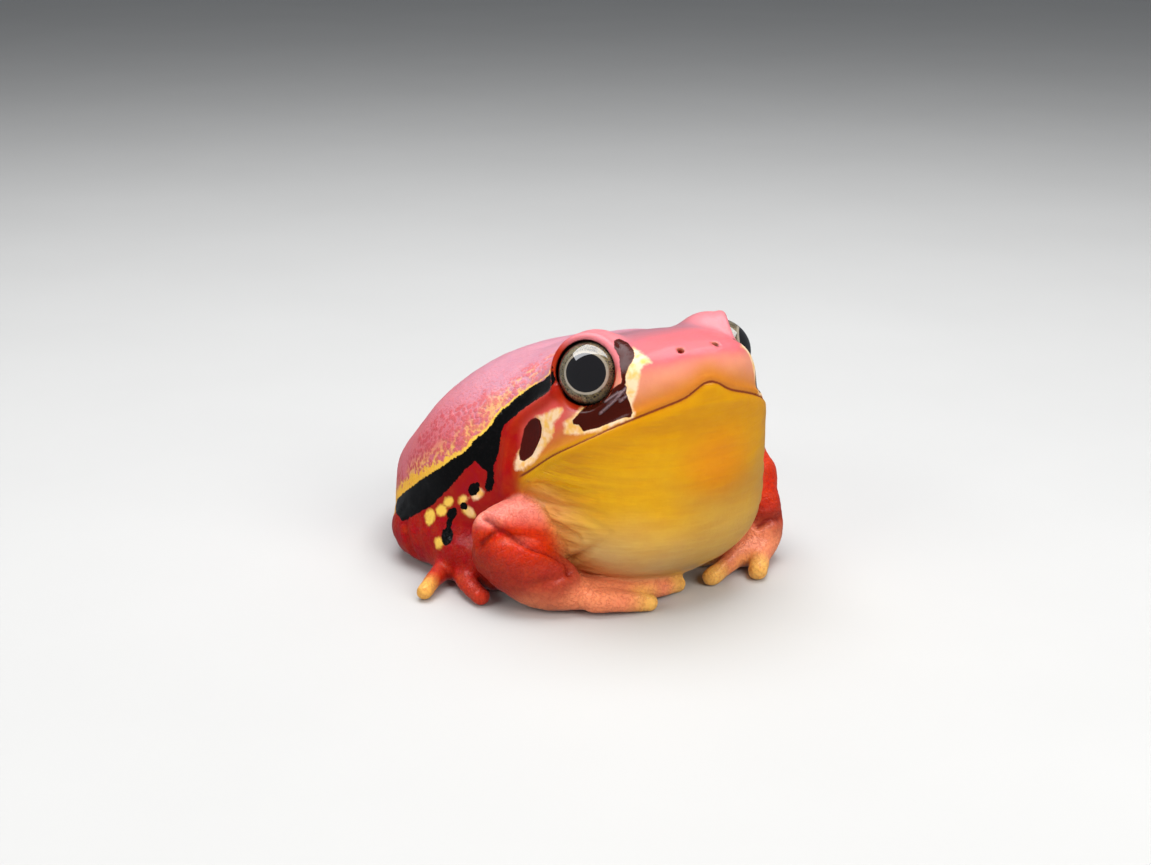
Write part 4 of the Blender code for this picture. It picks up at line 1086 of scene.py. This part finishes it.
skin = addSkin()
print("skin built")
fleshNodes = [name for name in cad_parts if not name.startswith("eye_")]
dress(skin, skinFinish(), "head_skin", *fleshNodes)
eyeMaterial = eyeFinish()
dress(addEyeball("eye_ball_right", -1), eyeMaterial, "eye", "eye_right")
dress(addEyeball("eye_ball_left", 1), eyeMaterial, "eye", "eye_left")
print("eyes built")

studio = {
    "floor": {"tone": (190, 190, 188), "pale": (196, 196, 194)},
    "floorHalf": 0.9,
    "world": (0.78, 0.82, 0.88),
    "glow": 0.22,
    # place, width, depth, strength, colour; the sky only shows as a shine on wet skin and eyes
    "lights": {
        "overhead": ((0.04, 0.06, 0.42), 0.40, 0.40, 2.45, (0.98, 0.98, 1.0)),
        "front": ((0.05, -0.44, 0.30), 0.34, 0.34, 1.90, (1.0, 0.98, 0.95)),
        "side": ((-0.45, -0.08, 0.22), 0.30, 0.30, 0.95, (1.0, 0.98, 0.96)),
        "sky": ((0.06, 0.09, 0.42), 0.95, 0.36, 4.8, (0.94, 0.96, 1.0)),
    },
    "target": (0.0, 0.0, 0.018),
}


# Pale matt floor, a plain square
def addFloor():
    half = studio["floorHalf"]
    mesh = bpy.data.meshes.new("studio_floor")
    corners = ((-half, -half, 0.0), (half, -half, 0.0), (half, half, 0.0), (-half, half, 0.0))
    mesh.from_pydata(corners, [], [(0, 1, 2, 3)])
    floor = keep(mesh, {})
    material, wire, shader = newFinish("pale_floor")
    look = coloursOf(studio["floor"])
    uneven = wire.noise(wire.place(), 18.0, 3.0)
    feed(shader, {"Base Color": uneven.choose(look["tone"], look["pale"]), "Roughness": 0.7})
    mesh.materials.append(material)
    floor.visible_glossy = False    # wet eyes mirror the dim room, not the pale floor


# Area light turned to the model; the sky light lies flat overhead
def addLight(name, place, width, depth, strength, colour):
    lamp = bpy.data.lights.new(name, "AREA")
    lamp.shape, lamp.size, lamp.size_y, lamp.energy, lamp.color = "RECTANGLE", width, depth, strength, colour
    light = bpy.data.objects.new(name, lamp)
    away = Vector(place) - Vector(studio["target"])
    turned = away.to_track_quat("Z", "Y").to_matrix().to_4x4()
    if name == "sky_light":    # its long side across the view
        turned = Matrix.Rotation(viewTurn, 4, "Z")
    light.matrix_world = Matrix.Translation(place) @ turned
    light.visible_glossy = name == "sky_light"
    light.visible_diffuse = name != "sky_light"
    bpy.context.collection.objects.link(light)


# Camera on the photo's own line of view
def addCamera():
    lens = bpy.data.cameras.new("photo_camera")
    lens.lens, lens.sensor_width, lens.sensor_fit = photoView["lens"], 36.0, "HORIZONTAL"
    lens.clip_start, lens.clip_end = 0.005, 20.0
    camera = bpy.data.objects.new("photo_camera", lens)
    place = photoView["distance"] * viewBack + photoView["target"]
    turned = Matrix(np.column_stack([viewAlong, viewUp, viewBack]).tolist()).to_4x4()
    camera.matrix_world = Matrix.Translation(place.tolist()) @ turned
    bpy.context.collection.objects.link(camera)
    bpy.context.scene.camera = camera


addFloor()
for lightName, settings in studio["lights"].items():
    addLight(lightName + "_light", *settings)
world = bpy.data.worlds.new("studio_world")
world.use_nodes = True
feed(world.node_tree.nodes["Background"], {"Color": studio["world"] + (1.0,), "Strength": studio["glow"]})
bpy.context.scene.world = world
bpy.context.scene.view_settings.view_transform = "Standard"
addCamera()
print("studio ready")

bpy.context.view_layer.update()
